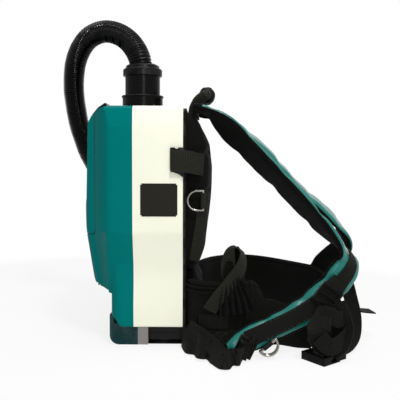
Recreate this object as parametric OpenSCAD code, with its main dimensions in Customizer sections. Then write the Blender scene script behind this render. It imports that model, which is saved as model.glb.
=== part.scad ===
// Backpack vacuum cleaner: a shoulder-carried unit with its harness spread out beside it.
// +X points from the unit towards the wearer, +Z is up, and the unit is symmetric about Y = 0.
// The origin is on the floor, on the flat underside of the bottom guard.

/* [Unit] */
// Height of the unit over the floor
unit_h = 375; // [350:1:450]
// Width of the unit at its widest
unit_w = 230; // [220:1:280]
// Depth of the rear shell, from the parting line to the back plate
rear_d = 76; // [74:1:95]
// Depth of the front shell, from the parting line to the cover's seam
front_d = 60; // [58:1:72]
// How far the dust cover stands out of its seam
cover_d = 16; // [13:1:22]
// Height of the shells' lower edge over the floor
base_h = 35; // [30:1:44]
// Wall thickness of the moulded shells
shell_wall = 2.5; // [2:0.1:3.2]
// Thickness of the back plate
plate_t = 5; // [4:0.5:7]

/* [Battery] */
// Length of a battery pack
battery_l = 113; // [100:1:118]
// Width of a battery pack
battery_w = 75; // [70:1:78]
// Height of a battery pack with its rails
battery_h = 60; // [56:1:62]

/* [Suction] */
// Outer radius of the hose cuff
cuff_r = 29; // [27:0.5:36]
// Height of the inlet collar over the unit
collar_h = 24; // [20:1:34]
// Height of the hose cuff over the collar
cuff_h = 32; // [28:1:44]
// Outer diameter of the hose over its ribs
hose_od = 38; // [34:0.5:42]
// Bore of the hose
hose_bore = 30; // [24:0.5:31]
// Number of ribs on the hose
hose_ribs = 165; // [80:1:200]
// Bore of the wand socket in the end cuff
socket_bore = 32; // [28:0.5:35]
// Depth of the wand socket
socket_depth = 40; // [30:1:50]
// Outer radius of the motor housing
motor_r = 48; // [44:1:49]
// Radius of the fan wheel
fan_r = 41; // [34:1:42]
// Radius of the motor shaft
shaft_r = 4; // [3:0.1:5]

/* [Harness] */
// Width of a shoulder strap
strap_w = 58; // [50:1:66]
// Thickness of a shoulder strap's padding
strap_t = 13; // [9:0.5:15]
// Width of the narrow webbing
webbing_w = 25; // [20:1:30]
// Thickness of the webbing
webbing_t = 2; // [1.5:0.1:2.5]
// Width of the back pad
pad_w = 180; // [150:2:190]
// Thickness of the back pad at its crown
pad_t = 40; // [26:1:42]
// Thickness of the hip wings
wing_t = 13; // [8:0.5:16]
// Radius of a D-ring's wire
ring_wire = 1.6; // [1.2:0.1:2]

/* [Hidden] */
$fn = 64;

teal = [0.0, 0.48, 0.47];
cream = [0.97, 0.98, 0.9];
dark_teal = [0.06, 0.22, 0.24];
warm_grey = [0.6, 0.58, 0.57];
black = [0.08, 0.08, 0.08];
cloth_black = [0.11, 0.11, 0.12];
steel = [0.75, 0.75, 0.77];
rubber_black = [0.05, 0.05, 0.05];

gap = 0.3; // gap between pieces that seat on each other
turn_gap = 0.1; // radial gap of the cuff in its collar
overlap = 0.01; // how far solids of one node run into each other
screw_r = 1.4;
hw = unit_w / 2;
plate_face = rear_d + plate_t;

// Levels of the unit's form, over the floor
neck_front = 36; // how far the lower neck stands forward of the parting line
neck_in = 10.5; // how far the neck's sides lie inside the widest width
waist_in = 14; // the same at the waist, above the neck
neck_z = base_h + 36;
waist_z = base_h + 70;
slope_z = base_h + 98; // where the sides start to lean out
shoulder_z = base_h + 148; // where the sides reach full width
bulge_z = base_h + 62; // lowest outer corner of the front bulge
shelf_z = base_h + 43; // shelf over the battery bay
shelf_t = 3;
chamber_z = shoulder_z + 3; // underside of the dust chamber's floor
chamber_t = 4;
crease_d = 33; // where the front shell's side starts to turn in
cover_hw = hw - 29; // half width of the cover at its seam
cover_z = shoulder_z - 7; // lower edge of the cover
cover_top = unit_h - 12;
chamber_mouth_hw = cover_hw - 12;
outer_face = front_d + cover_d;

// Battery bay
battery_x = min(-neck_front - 1.8, rear_d - 0.8 - battery_l); // outer end of the packs
battery_z = 3.3;
bay_hw = battery_w + 2;
guard_wall = 5;
guard_hw = bay_hw + guard_wall;
guard_x = battery_x - 2.4; // outer end of the guard
guard_h = base_h + 16;
guard_round = 15;
band_x = 4.3;
band_end = 20.8;
bay_top = battery_z + battery_h + 3.2;

// Inlet
inlet_x = 5;
motor_x = 17; // middle of the motor and of the filter over it
collar_r = cuff_r + 4.6;
collar_top = unit_h + collar_h;
cuff_top = collar_top + cuff_h;
nut_r = cuff_r + 3.6;
nut_h = 13;
hose_r = hose_od / 2;
hose_seat = cuff_top - 12; // where the hose's end rests inside the cuff

// ---- outlines -------------------------------------------------------------

// A half outline [y, z], listed upwards, closed with its mirror image
function mirrored(half) = concat(half, [for (i = [len(half) - 1:-1:0]) [-half[i].x, half[i].y]]);

// Half outline of the rear shell and the neck, seen along X, at an inset from the outer face
function side_half(inset) = [
    [hw - neck_in - 1.5 - inset, base_h],
    [hw - neck_in - inset, base_h + 4],
    [hw - neck_in - inset, neck_z],
    [hw - waist_in - inset, waist_z],
    [hw - waist_in - inset, slope_z],
    [hw - inset, shoulder_z],
    [hw - inset, unit_h - 33],
    [hw - 4 - inset, unit_h - 7 - inset / 2],
    [hw - 8 - inset, unit_h - 2 - inset],
    [hw - 15 - inset, unit_h - inset],
];

// Half outline in plan of the front: a flat side, a facet, then a rounded nose that carries the cover
function plan_half(side, nose, inset) = [
    [1, side - inset],
    [-crease_d, side - inset],
    [-crease_d - 8, side - 3.4 - inset],
    [-nose + cover_d + 10 + inset * 0.5, side - 14.5 - inset * 0.7],
    [-nose + cover_d + inset * 0.6, side - 27 - inset * 0.6],
    [-nose + cover_d * 0.45 + inset * 0.8, side - 31 - inset * 0.7],
    [-nose + 2 + inset, side - 38 - inset * 0.3],
    [-nose - 0.6 + inset, side - 48],
];
function whole(half) = concat(half, [for (i = [len(half) - 1:-1:0]) [half[i].x, -half[i].y]]);

// Outline of the front from the side, from the parting line over the top and down the nose
function front_profile(inset) = [
    [1, unit_h + 1],
    [1, base_h + 48 + inset],
    [-neck_front, base_h + 48 + inset],
    [-outer_face + 14, bulge_z - 6 + inset],
    [-outer_face + 9 + inset, bulge_z + inset * 0.4],
    [-outer_face + 6 + inset, bulge_z + 11],
    [-outer_face + 0.5 + inset, shoulder_z - 12],
    [-outer_face + inset, shoulder_z],
    [-outer_face - 2.3 + inset, shoulder_z + 22],
    [-outer_face - 2.6 + inset, shoulder_z + 39],
    [-outer_face + inset, shoulder_z + 49],
    [-outer_face + 1 + inset, shoulder_z + 79],
    [-outer_face + 4 + inset, unit_h - 26],
    [-front_d - 6 + inset, unit_h - 15.5 - inset * 0.7],
    [-front_d + inset, unit_h - 9.5 - inset],
    [-front_d + 8, unit_h - 4.7 - inset],
    [-front_d + 21, unit_h - 1.2 - inset],
    [-front_d + 34, unit_h + 1],
];

// Extrusion along X of an outline given as [y, z]
module along_x(x0, x1, points)
    translate([x0, 0, 0]) rotate([90, 0, 90]) linear_extrude(x1 - x0) polygon(points);

// Extrusion of 2D children given in [x, z], centred on y
module along_y(width, y = 0)
    translate([0, y, 0]) rotate([90, 0, 0]) linear_extrude(width, center = true) children();

module slab(x, y, z) translate([x[0], y[0], z[0]]) cube([x[1] - x[0], y[1] - y[0], z[1] - z[0]]);

// The bulge of the front shell, solid, at an inset: upright above the shoulder, tapered below it
module bulge(inset) {
    nose = outer_face + 2.6;
    ends = [[bulge_z - 20, hw - 30, outer_face - 8], [shoulder_z, hw, nose], [unit_h + 2, hw, nose]];
    top = [for (p = side_half(inset)) if (p.y > shoulder_z + 1) p];
    intersection() {
        skin([for (e = ends) [for (p = whole(plan_half(e[1], e[2], inset))) [min(p.x, 0), p.y, e[0]]]]);
        along_x(-outer_face - 4, 1, mirrored(concat([[hw - inset, bulge_z - 21]], top)));
        along_y(unit_w + 2) polygon(front_profile(inset));
    }
}

// The neck under the bulge: round corners in plan, and a lower edge that sweeps up to the guard
module neck(inset) {
    corner = 20;
    y1 = hw - neck_in - inset;
    intersection() {
        linear_extrude(slope_z) union() {
            translate([-neck_front + inset, -y1 + corner]) square([neck_front - inset, 2 * (y1 - corner)]);
            translate([-neck_front + corner, -y1]) square([neck_front - corner, 2 * y1]);
            for (s = [-1, 1]) translate([-neck_front + inset + corner, s * (y1 - corner)]) circle(corner);
        }
        along_x(-neck_front - 1, 0, mirrored(side_half(inset)));
        along_y(unit_w) polygon([
            [0, base_h], [-18, base_h], [-21, base_h + 1.5], [-26, base_h + 8], [-30, base_h + 13],
            [-neck_front, guard_h], [-neck_front - 1, guard_h], [-neck_front - 1, slope_z - 14],
            [-neck_front + 11, slope_z], [0, slope_z],
        ]);
    }
}

// The zone that the dust cover fills, grown or shrunk by a margin, as [x, z]
module cover_zone(margin) {
    corner = 8;
    x1 = -front_d - margin;
    z0 = cover_z + 3 * margin; // more room at the hinge, where the cover's edge swings
    translate([-outer_face - 20, z0 + corner]) square([x1 + outer_face + 20, unit_h]);
    translate([-outer_face - 20, z0]) square([x1 - corner + outer_face + 20, unit_h]);
    translate([x1 - corner, z0 + corner]) circle(corner);
}

// ---- shells ---------------------------------------------------------------

boss_places = [for (s = [-1, 1], z = [base_h + 57, shoulder_z + 30, unit_h - 40]) [s * (hw - 25), z]];
boss_r = 5;

// Rods along X on the screws' axes
module at_bosses(x, r, length)
    for (b = boss_places) translate([x, b.x, b.y]) rotate([0, 90, 0]) cylinder(r = r, h = length);

module screw_bosses(x0, x1, hole_r) difference() {
    at_bosses(x0, boss_r, x1 - x0);
    at_bosses(x0 - 1, hole_r, x1 - x0 + 2);
}

// Opening in the shells' lower edge, over the guard
module base_mouth(x0, x1) {
    y1 = hw - neck_in - shell_wall;
    slab([x0, x1], [-y1, y1], [base_h - 1, base_h + 4]);
}

module inlet_hole() translate([inlet_x, 0, unit_h - 10]) cylinder(r = collar_r - 4 + gap, h = 20);

module rear_shell() color(cream) {
    difference() {
        intersection() {
            along_x(0, rear_d, mirrored(side_half(0)));
            along_y(unit_w + 2) polygon([
                [-1, 0], [rear_d - 2, 0], [rear_d, 8], [rear_d, unit_h - 8],
                [rear_d - 1.5, unit_h - 2], [rear_d - 5, unit_h + 1], [-1, unit_h + 1],
            ]);
        }
        intersection() {
            along_x(-1, rear_d - shell_wall, mirrored(side_half(shell_wall)));
            slab([-1, rear_d], [-hw, hw], [shelf_z + shelf_t, unit_h]);
        }
        intersection() {
            along_x(-1, rear_d - shell_wall, mirrored(side_half(shell_wall)));
            slab([-1, rear_d], [-hw, hw], [base_h - 1, shelf_z]);
        }
        slab([-1, rear_d + 1], [-bay_hw, bay_hw], [base_h - 1, bay_top]);
        base_mouth(-1, rear_d - shell_wall);
        inlet_hole();
        at_bosses(rear_d - shell_wall - 1, 2, 10);
    }
    screw_bosses(2, rear_d - shell_wall + overlap, 2);
}

// Slots that let the exhaust air out under the bulge
module exhaust_slots() for (row = [0:6], s = [-1, 1])
    translate([-outer_face + 12 + row * 4, s * 38 - 22, bulge_z - 26]) cube([2, 44, 26]);

module front_shell() color(teal) {
    difference() {
        union() {
            difference() {
                bulge(0);
                along_y(unit_w + 10) cover_zone(0);
            }
            neck(0);
        }
        // dust chamber
        intersection() {
            bulge(shell_wall);
            slab([-front_d + shell_wall, 1], [-hw, hw], [chamber_z + overlap, unit_h]);
        }
        // motor space, which runs out under the cover
        intersection() {
            union() {
                bulge(shell_wall);
                neck(shell_wall);
            }
            union() {
                slab([-outer_face, 1], [-hw, hw], [shelf_z + shelf_t, cover_z - shell_wall + overlap]);
                slab([-front_d + shell_wall, 1], [-hw, hw], [cover_z - shell_wall, chamber_z + 2 * overlap]);
            }
        }
        // battery bay and its mouth
        intersection() {
            neck(shell_wall);
            slab([-neck_front, 1], [-hw, hw], [base_h - 1, shelf_z]);
        }
        base_mouth(-neck_front + shell_wall, 1);
        slab([-outer_face, 1], [-guard_hw - gap, guard_hw + gap], [base_h - 1, guard_h + gap]);
        slab([-outer_face, 1], [-bay_hw, bay_hw], [base_h - 1, bay_top]);
        // mouth of the dust chamber
        slab([-front_d - 1, -front_d + shell_wall + 1], [-chamber_mouth_hw, chamber_mouth_hw],
            [chamber_z + 12, cover_top - 14]);
        inlet_hole();
        // room for the cover's hinge knuckles
        for (s = [-1, 1]) knuckle(s * 36, 31.2, knuckle_r + 0.5, 0);
        knuckle(0, 130, pin_r, 0);
        exhaust_slots();
    }
    knuckle(0, 40, knuckle_r, pin_r);
    for (s = [-1, 1]) knuckle(s * 56, 8, knuckle_r, pin_r);
    screw_bosses(-20, -overlap, screw_r);
    at_bosses(-22, boss_r, 2 + overlap);
    // ribs from the bosses to the side walls
    intersection() {
        union() {
            bulge(1);
            neck(1);
        }
        for (b = boss_places) scale([1, sign(b.x), 1])
            slab([-22, -overlap], [abs(b.x) + 4, hw], [b.y - 1, b.y + 1]);
    }
}

// Cover hinge: one pin along Y through the cover's knuckles and the shell's lugs
hinge_x = -outer_face + 2;
hinge_z = cover_z + 2;
knuckle_r = 3.4;
pin_r = 1.5;
pin_gap = 0.05;

module knuckle(y, length, r, bore) translate([hinge_x, y, hinge_z]) rotate([90, 0, 0]) difference() {
    cylinder(r = r, h = length, center = true);
    if (bore > 0) cylinder(r = bore, h = length + 2, center = true);
}

latch_x = -outer_face + 7;
latch_z = unit_h - 13;
latch_hw = 38;
latch_pin_r = 1.5;
latch_barrel_r = 3.4;

// Rod along the latch's axis
module along_latch(r, length)
    translate([latch_x, 0, latch_z]) rotate([90, 0, 0]) cylinder(r = r, h = length, center = true);

module dust_cover() color(teal) {
    cover_wall = 2.4;
    difference() {
        union() {
            intersection() {
                bulge(0);
                along_y(unit_w) cover_zone(0.4);
            }
            for (s = [-1, 1]) knuckle(s * 36, 30, knuckle_r, 0);
            for (s = [-1, 1]) latch_ear(s * (latch_hw + 3));
        }
        intersection() {
            bulge(cover_wall);
            along_y(unit_w) cover_zone(-8);
            slab([-outer_face - 5, -front_d + 1], [-cover_hw + 4, cover_hw - 4], [cover_z + 9, unit_h]);
        }
        for (s = [-1, 0, 1]) knuckle(s * 56, s == 0 ? 41.2 : 9.2, knuckle_r + 0.5, 0);
        knuckle(0, 130, pin_r + pin_gap, 0);
        along_latch(latch_pin_r, 2 * latch_hw + 20);
        along_latch(latch_barrel_r + 0.7, 2 * latch_hw + 2 * gap);
    }
}

module latch_ear(y) along_y(4, y) union() {
    translate([latch_x, latch_z]) circle(3.6);
    translate([latch_x, latch_z]) polygon([[-3.6, 0], [-4.2, -14], [8, -8], [3.6, 0]]);
}

module cover_hinge_pin() color(steel)
    translate([hinge_x, 0, hinge_z]) rotate([90, 0, 0]) cylinder(r = pin_r, h = 120, center = true);

module cover_seal() color(rubber_black) {
    m = chamber_mouth_hw + 1;
    z0 = chamber_z + 11;
    z1 = cover_top - 13;
    difference() {
        slab([-front_d - 2, -front_d], [-m - 4, m + 4], [z0 - 4, z1 + 4]);
        slab([-front_d - 3, -front_d + 1], [-m, m], [z0, z1]);
    }
}

// Over-centre lever whose tip rests on the shell's top edge
module cover_latch() color(black) difference() {
    union() {
        along_y(2 * latch_hw) translate([latch_x, latch_z]) polygon([
            [-5.5, -1], [-4, 3.5], [5, 12], [16, 19], [19, 18.6], [19, 9.6], [16.5, 8.9], [15, 13.4],
            [7, 8.8], [2.5, -0.5], [-3, -2.5],
        ]);
        along_latch(latch_barrel_r, 2 * latch_hw);
    }
    along_latch(latch_pin_r + pin_gap, 2 * latch_hw + 2);
}

module latch_pin() color(steel) along_latch(latch_pin_r, 2 * latch_hw + 10);

// ---- base -----------------------------------------------------------------

// Outer form of the guard from the side, as [x, z]
module guard_outline(x1) union() {
    translate([guard_x, guard_round]) square([x1 - guard_x, guard_h - guard_round - 4]);
    translate([guard_x + guard_round, 0]) square([x1 - guard_x - guard_round, guard_h - 4]);
    translate([guard_x + guard_round, guard_round]) circle(guard_round);
    translate([guard_x + 4, guard_h - 8]) square([x1 - guard_x - 4, 8]);
    translate([guard_x + 4, guard_h - 4]) circle(4);
}

module bottom_guard() color(dark_teal) difference() {
    along_y(2 * guard_hw) intersection() {
        guard_outline(band_x);
        translate([guard_x, 0]) square([band_x - guard_x, guard_h]);
    }
    slab([-neck_front + shell_wall + gap, rear_d], [-hw, hw], [base_h - gap, guard_h + 1]);
    slab([guard_x - 1, rear_d], [-bay_hw, bay_hw], [battery_z - gap, guard_h + 1]);
}

module guard_band() color(warm_grey) difference() {
    slab([band_x, band_end], [-guard_hw, guard_hw], [0, base_h]);
    slab([band_x - 1, band_end + 1], [-bay_hw, bay_hw], [battery_z - gap, base_h + 1]);
}

module back_plate() color(black) {
    corner = 14;
    top_corner = 8;
    y1 = hw - 17;
    z1 = unit_h - 3;
    difference() {
        translate([rear_d, 0, 0]) rotate([90, 0, 90]) linear_extrude(plate_t) union() {
            translate([-y1, corner]) square([2 * y1, z1 - corner - top_corner]);
            translate([-y1 + corner, 0]) square([2 * (y1 - corner), z1]);
            for (s = [-1, 1]) {
                translate([s * (y1 - corner), corner]) circle(corner);
                translate([s * (y1 - top_corner), z1 - top_corner]) circle(top_corner);
            }
        }
        at_bosses(rear_d - 1, 4.2, plate_t + 2);
    }
    slab([band_end, rear_d], [-bay_hw, bay_hw], [0, battery_z - gap]);
}

module shell_screws() color(steel) difference() {
    union() {
        at_bosses(-16, screw_r, rear_d + 16);
        at_bosses(rear_d, 3.8, 3);
    }
    at_bosses(rear_d + 1.4, 1.8, 3, $fn = 6);
}

// ---- dust chamber ---------------------------------------------------------

module chamber_floor() color(black) difference() {
    inset = shell_wall + gap;
    translate([0, 0, chamber_z]) linear_extrude(chamber_t) union() {
        intersection() {
            polygon(whole(plan_half(hw, outer_face + 2.6, inset)));
            translate([-front_d + inset, -hw]) square([front_d, unit_w]);
        }
        translate([-0.5, -hw + inset]) square([rear_d - inset + 0.5, 2 * (hw - inset)]);
    }
    translate([motor_x, 0, chamber_z - 1]) cylinder(r = 26, h = chamber_t + 2);
}

// Collar on the top: rim, neck and the spout that the dust bag hangs on
module inlet_collar() color(black) translate([inlet_x, 0, 0]) rotate_extrude() polygon([
    [collar_r - 14, unit_h - 34], [collar_r - 11, unit_h - 34], [collar_r - 11, unit_h - 12],
    [collar_r - 4, unit_h - 6], [collar_r - 4, unit_h], [collar_r, unit_h],
    [collar_r, collar_top - 4], [collar_r + 1.4, collar_top - 3], [collar_r + 1.4, collar_top - 1],
    [collar_r + 0.6, collar_top], [cuff_r + turn_gap, collar_top], [cuff_r + turn_gap, unit_h + 2],
    [collar_r - 9, unit_h - 4], [collar_r - 14, unit_h - 10],
]);

module bag_holder() color(warm_grey) difference() {
    slab([-34, 40], [-52, 52], [unit_h - 38, unit_h - 34]);
    translate([inlet_x, 0, unit_h - 39]) cylinder(r = collar_r - 13, h = 6);
}

// Soft bag: a box with puffed sides under its holder, wider at its lower half
module dust_bag() color([0.85, 0.84, 0.8]) {
    foot = chamber_z + chamber_t;
    levels = [ // height, half depth, half width
        [foot + 28, 20, 44], [foot + 34, 30, 60], [foot + 80, 34, 66],
        [unit_h - 80, 31, 60], [unit_h - 50, 28, 50], [unit_h - 38 - gap, 24, 40],
    ];
    skin([for (l = levels) [for (a = [0:20:340])
        [8 + l[1] * full(cos(a), 0.6), l[2] * full(sin(a), 0.6), l[0]]]]);
}

// Pleated filter disc over the motor's inlet
module hepa_filter() color([0.9, 0.9, 0.86]) translate([motor_x, 0, chamber_z + chamber_t]) {
    pleats = 36;
    difference() {
        linear_extrude(20) polygon([for (i = [0:2 * pleats - 1])
            let (r = i % 2 == 0 ? 50 : 44, a = i * 180 / pleats) [r * cos(a), r * sin(a)]]);
        translate([0, 0, -1]) cylinder(r = 28, h = 18);
    }
    translate([0, 0, 20]) cylinder(r = 52, h = 3);
}

// ---- motor ----------------------------------------------------------------

motor_z = shelf_z + shelf_t + 4;
housing_top = chamber_z - 4;

module motor_housing() color([0.2, 0.2, 0.21]) translate([motor_x, 0, 0]) difference() {
    rotate_extrude() polygon([
        [0, motor_z], [motor_r - 6, motor_z], [motor_r, motor_z + 6], [motor_r, housing_top - 8],
        [motor_r - 6, housing_top], [24, housing_top], [24, housing_top - 3],
        [motor_r - 7, housing_top - 3], [motor_r - 3, housing_top - 9], [motor_r - 3, motor_z + 7],
        [motor_r - 7, motor_z + 3], [0, motor_z + 3],
    ]);
    for (a = [0:30:330]) rotate([0, 0, a]) translate([motor_r - 8, -2, motor_z + 14]) cube([12, 4, 22]);
}

module motor_mount_rings() color(rubber_black) for (z = [motor_z - 4 + gap, housing_top])
    translate([motor_x, 0, z]) difference() {
        cylinder(r = motor_r - 8, h = 4 - gap);
        translate([0, 0, -1]) cylinder(r = motor_r - 16, h = 6);
    }

motor_body_h = 74;

module motor_body() color([0.45, 0.45, 0.47]) translate([motor_x, 0, motor_z + 3]) difference() {
    union() {
        cylinder(r = 32, h = motor_body_h - 4);
        cylinder(r = 24, h = motor_body_h);
        for (a = [45:90:315]) rotate([0, 0, a]) translate([0, -3, 0]) cube([motor_r - 8, 6, 8]);
    }
    translate([0, 0, 4]) cylinder(r = 20, h = motor_body_h - 8);
    translate([0, 0, 2]) cylinder(r = shaft_r + 0.04, h = motor_body_h);
}

// Fan wheel: shaft, hub, two discs and curved blades between them
module fan_rotor() color([0.7, 0.71, 0.73]) {
    wheel_z = motor_z + 3 + motor_body_h + 2;
    wheel_h = 11;
    blades = 9;
    translate([motor_x, 0, 0]) {
        translate([0, 0, motor_z + 5.1]) cylinder(r = shaft_r, h = wheel_z + wheel_h - motor_z - 5.1);
        translate([0, 0, motor_z + 14]) cylinder(r = 16, h = 44);
        translate([0, 0, wheel_z]) cylinder(r = fan_r, h = 1.6);
        translate([0, 0, wheel_z]) cylinder(r = 9, h = wheel_h);
        translate([0, 0, wheel_z + wheel_h - 1.5]) difference() {
            cylinder(r = fan_r, h = 1.5);
            translate([0, 0, -1]) cylinder(r = 22, h = 4);
        }
        for (i = [0:blades - 1]) translate([0, 0, wheel_z + 1]) rotate([0, 0, i * 360 / blades])
            intersection() {
                translate([fan_r / 2 + 2, 14, 0]) difference() {
                    cylinder(r = 26, h = wheel_h - 2);
                    translate([0, 0, -1]) cylinder(r = 24.6, h = wheel_h);
                }
                translate([8, -34, 0]) cube([fan_r - 10, 34, wheel_h]);
                cylinder(r = fan_r - 0.5, h = wheel_h);
            }
    }
}

module control_board() color([0.1, 0.35, 0.2]) {
    x = rear_d - shell_wall - 5;
    foot = shelf_z + shelf_t + gap;
    slab([x, x + 1.6], [-60, 60], [foot, foot + 75]);
    for (y = [-48, 48], z = [16, 62])
        translate([x + 1.6, y, shelf_z + z]) rotate([0, 90, 0]) cylinder(r = 3.5, h = 3.4 - gap);
    for (y = [-36, 36]) slab([x - 6, x], [y - 9, y + 9], [shelf_z + 12, shelf_z + 30]);
}

// ---- batteries ------------------------------------------------------------

pack_y = battery_w / 2 + 1;
head_l = 22; // full-height head of a pack, outside the rails
rail_z = battery_z + battery_h - 13;

contact_y = 14; // contacts either side of a pack's middle

module battery_pack(s) color([0.1, 0.1, 0.11]) translate([battery_x, s * pack_y, battery_z]) difference() {
    w = battery_w / 2;
    union() {
        intersection() {
            union() {
                slab([0, battery_l], [-w, w], [0, battery_h - 13]);
                slab([0, head_l], [-w, w], [0, battery_h]);
            }
            along_x(-1, battery_l + 1,
                mirrored([[w - 4, 0], [w, 4], [w, battery_h - 6], [w - 6, battery_h]]));
        }
        slab([head_l - 1, battery_l - 4], [-21, 21], [battery_h - 14, battery_h - 1]);
        slab([head_l - 1, battery_l - 4], [-27, 27], [battery_h - 6, battery_h - 1]);
    }
    slab([-1, 5], [-13, 13], [battery_h - 24, battery_h - 12]);
    for (k = [-1, 1]) {
        y = k * contact_y;
        slab([battery_l - 40, battery_l], [y - 1.5, y + 1.5], [battery_h - 10, battery_h + 1]);
        slab([30, battery_l - 12], [k * w - 0.8, k * w + 0.8], [14, 18]);
    }
}

module battery_left() battery_pack(-1);
module battery_right() battery_pack(1);

button_travel = 2.5;

module battery_button(s) color([0.75, 0.1, 0.08]) translate([battery_x, s * pack_y, battery_z])
    slab([-1.2, 5 - button_travel - 0.2], [-12.7, 12.7], [battery_h - 23.7, battery_h - 12.3]);

module battery_button_left() battery_button(-1);
module battery_button_right() battery_button(1);

// Rails under the shelf that the packs slide in, with their contact blocks
module battery_rails() color(black) for (s = [-1, 1]) translate([battery_x, s * pack_y, battery_z]) {
    top = shelf_z - battery_z - gap;
    start = head_l + 3;
    difference() {
        slab([start, battery_l - 3], [-33, 33], [battery_h + 0.6, top]);
        slab([start + 3, battery_l - 6], [-30, 30], [battery_h + 3.6, top + 1]);
    }
    for (k = [-1, 1]) {
        scale([1, k, 1]) {
            slab([start, battery_l - 3], [28, 33], [battery_h - 12.4, battery_h + 1]);
            slab([start, battery_l - 3], [22, 33], [battery_h - 12.4, battery_h - 7]);
        }
        y = k * contact_y;
        slab([battery_l - 38, battery_l - 14], [y - 0.6, y + 0.6], [battery_h - 8, battery_h + 1]);
    }
}

module rating_plate() color([0.13, 0.13, 0.12]) {
    y = -hw - 0.5;
    z = base_h + 173;
    slab([12, 68], [y, -hw], [z + 2, z + 48]);
    slab([14, 66], [y, -hw], [z, z + 50]);
}

// ---- hose -----------------------------------------------------------------

// Cuff that turns in the collar, with the nut and dome that hold the hose
module hose_cuff() color(black) translate([inlet_x, 0, 0]) rotate_extrude() polygon([
    [cuff_r - 9, unit_h + 4], [cuff_r - 2, unit_h + 4], [cuff_r, unit_h + 7], [cuff_r, cuff_top],
    [nut_r - 0.8, cuff_top], [nut_r, cuff_top + 1], [nut_r, cuff_top + nut_h - 3],
    [nut_r - 1.4, cuff_top + nut_h - 1], [nut_r - 4, cuff_top + nut_h],
    [nut_r - 5, cuff_top + nut_h + 4], [nut_r - 9, cuff_top + nut_h + 6.5],
    [hose_r + 3.6, cuff_top + nut_h + 7], [hose_r + gap, hose_seat - gap],
    [hose_bore / 2, hose_seat - gap], [cuff_r - 9, hose_seat - 10],
]);

// Points of the hose's route: over the top, down the outside and behind the unit, then along the floor
hose_route = [
    [1, 0, 3], [-1.5, 0.5, 20.5], [-4, 1, 38], [-8, 4, 49], [-14, 9, 60], [-26, 19, 75], [-44, 31, 88],
    [-65, 43, 95], [-84, 53, 94], [-103, 64, 86], [-119, 75, 69], [-130, 86, 47], [-135, 95, 24],
    [-137, 102, 2], [-136, 109, -23], [-132, 118, -58], [-126, 124, -82], [-117, 132, -112],
    [-105, 140, -138], [-89, 148, -172], [-66, 158, -214], [-38, 170, -260], [-6, 184, -305],
    [30, 201, -344], [68, 218, -374], [106, 232, -392], [146, 240, -398], [200, 240, -398], [236, 240, -398],
];
hose_start = [inlet_x, 0, hose_seat];
hose_floor = socket_bore / 2 + 5; // height of the hose's middle where it ends in its cuff on the floor

// A point of the route, no lower than the end cuff's middle
function on_route(p) = hose_start + [p.x, p.y, max(p.z, hose_floor - hose_seat)];
hose_line = smooth([for (p = hose_route) on_route(p)], 5);

// Distance of each point of a line from its start
function lengths(line) = [for (i = 0, s = 0; i < len(line);
    i = i + 1, s = s + (i < len(line) ? norm(line[i] - line[i - 1]) : 0)) s];
hose_at = lengths(hose_line);
hose_l = hose_at[len(hose_at) - 1];

// Point at a distance along the hose
function hose_point(s) = [for (k = [0:2])
    lookup(s, [for (i = [0:len(hose_line) - 1]) [hose_at[i], hose_line[i][k]]])];

hose_pitch = (hose_l - 2 * hose_od) / hose_ribs;
hose_trough = hose_r - 1.6;
// Distances and radii of the outer rings: straight ends, then a crest and a trough for each rib
hose_rings = concat(
    [[0, hose_trough], [hose_od, hose_trough]],
    [for (i = [0:hose_ribs - 1], k = [0, 1])
        [hose_od + hose_pitch * (i + 0.25 + k / 2), k == 0 ? hose_r : hose_trough]],
    [[hose_l - hose_od, hose_trough], [hose_l, hose_trough]]
);
hose_inner = concat(
    [0, hose_od],
    [for (i = [3:3:hose_ribs - 2]) hose_od + hose_pitch * i],
    [hose_l - hose_od, hose_l]
);

module hose() color([0.07, 0.07, 0.07]) {
    outer = round_rings([for (r = hose_rings) hose_point(r[0])], [for (r = hose_rings) r[1]], 8);
    inner = round_rings([for (s = hose_inner) hose_point(s)], [for (s = hose_inner) hose_bore / 2], 8);
    pipe(outer, inner);
}

hose_end = hose_line[len(hose_line) - 1];

// Cuff on the hose's free end, with the socket for the wand
module hose_end_cuff() color(black) translate(hose_end) rotate([0, 90, 0]) {
    socket_r = socket_bore / 2;
    mouth = 8 + socket_depth;
    rotate_extrude() polygon([
        [hose_trough + 0.4, -26], [hose_trough + 3, -26], [hose_trough + 3.6, -24], [hose_trough + 3.6, 2],
        [socket_r + 4.6, 8], [socket_r + 4.6, mouth - 3], [socket_r + 3.6, mouth - 1], [socket_r + 3, mouth],
        [socket_r, mouth], [socket_r, 8], [hose_bore / 2, 4], [hose_bore / 2, gap], [hose_trough + 0.4, gap],
    ]);
}

// ---- sweeps ---------------------------------------------------------------

function unit(v) = v / norm(v);
function across(side, t) = unit(side - (side * t) * t);

// Catmull-Rom curve through points, with a number of steps to each span
function spline_at(p, i, u) = let (
    n = len(p) - 1, a = p[max(i - 1, 0)], b = p[i], c = p[min(i + 1, n)], d = p[min(i + 2, n)]
) 0.5 * (2 * b + (c - a) * u + (2 * a - 5 * b + 4 * c - d) * u * u + (3 * b - a - 3 * c + d) * u * u * u);
function smooth(p, steps) = concat(
    [for (i = [0:len(p) - 2], k = [0:steps - 1]) spline_at(p, i, k / steps)], [p[len(p) - 1]]);

function tangent(line, i) = unit(line[min(i + 1, len(line) - 1)] - line[max(i - 1, 0)]);

// Side vectors carried along a line without twist
function carried(line, start) = [for (i = 0, s = across(start, tangent(line, 0)); i < len(line);
    i = i + 1, s = across(s, tangent(line, min(i, len(line) - 1)))) s];

function round_rings(line, radii, sides) = let (side = carried(line, [0, 1, 0])) [for (i = [0:len(line) - 1])
    let (t = tangent(line, i), s = side[i], n = cross(t, s))
    [for (k = [0:sides - 1]) line[i] + radii[i] * (s * cos(360 * k / sides) + n * sin(360 * k / sides))]];

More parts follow.
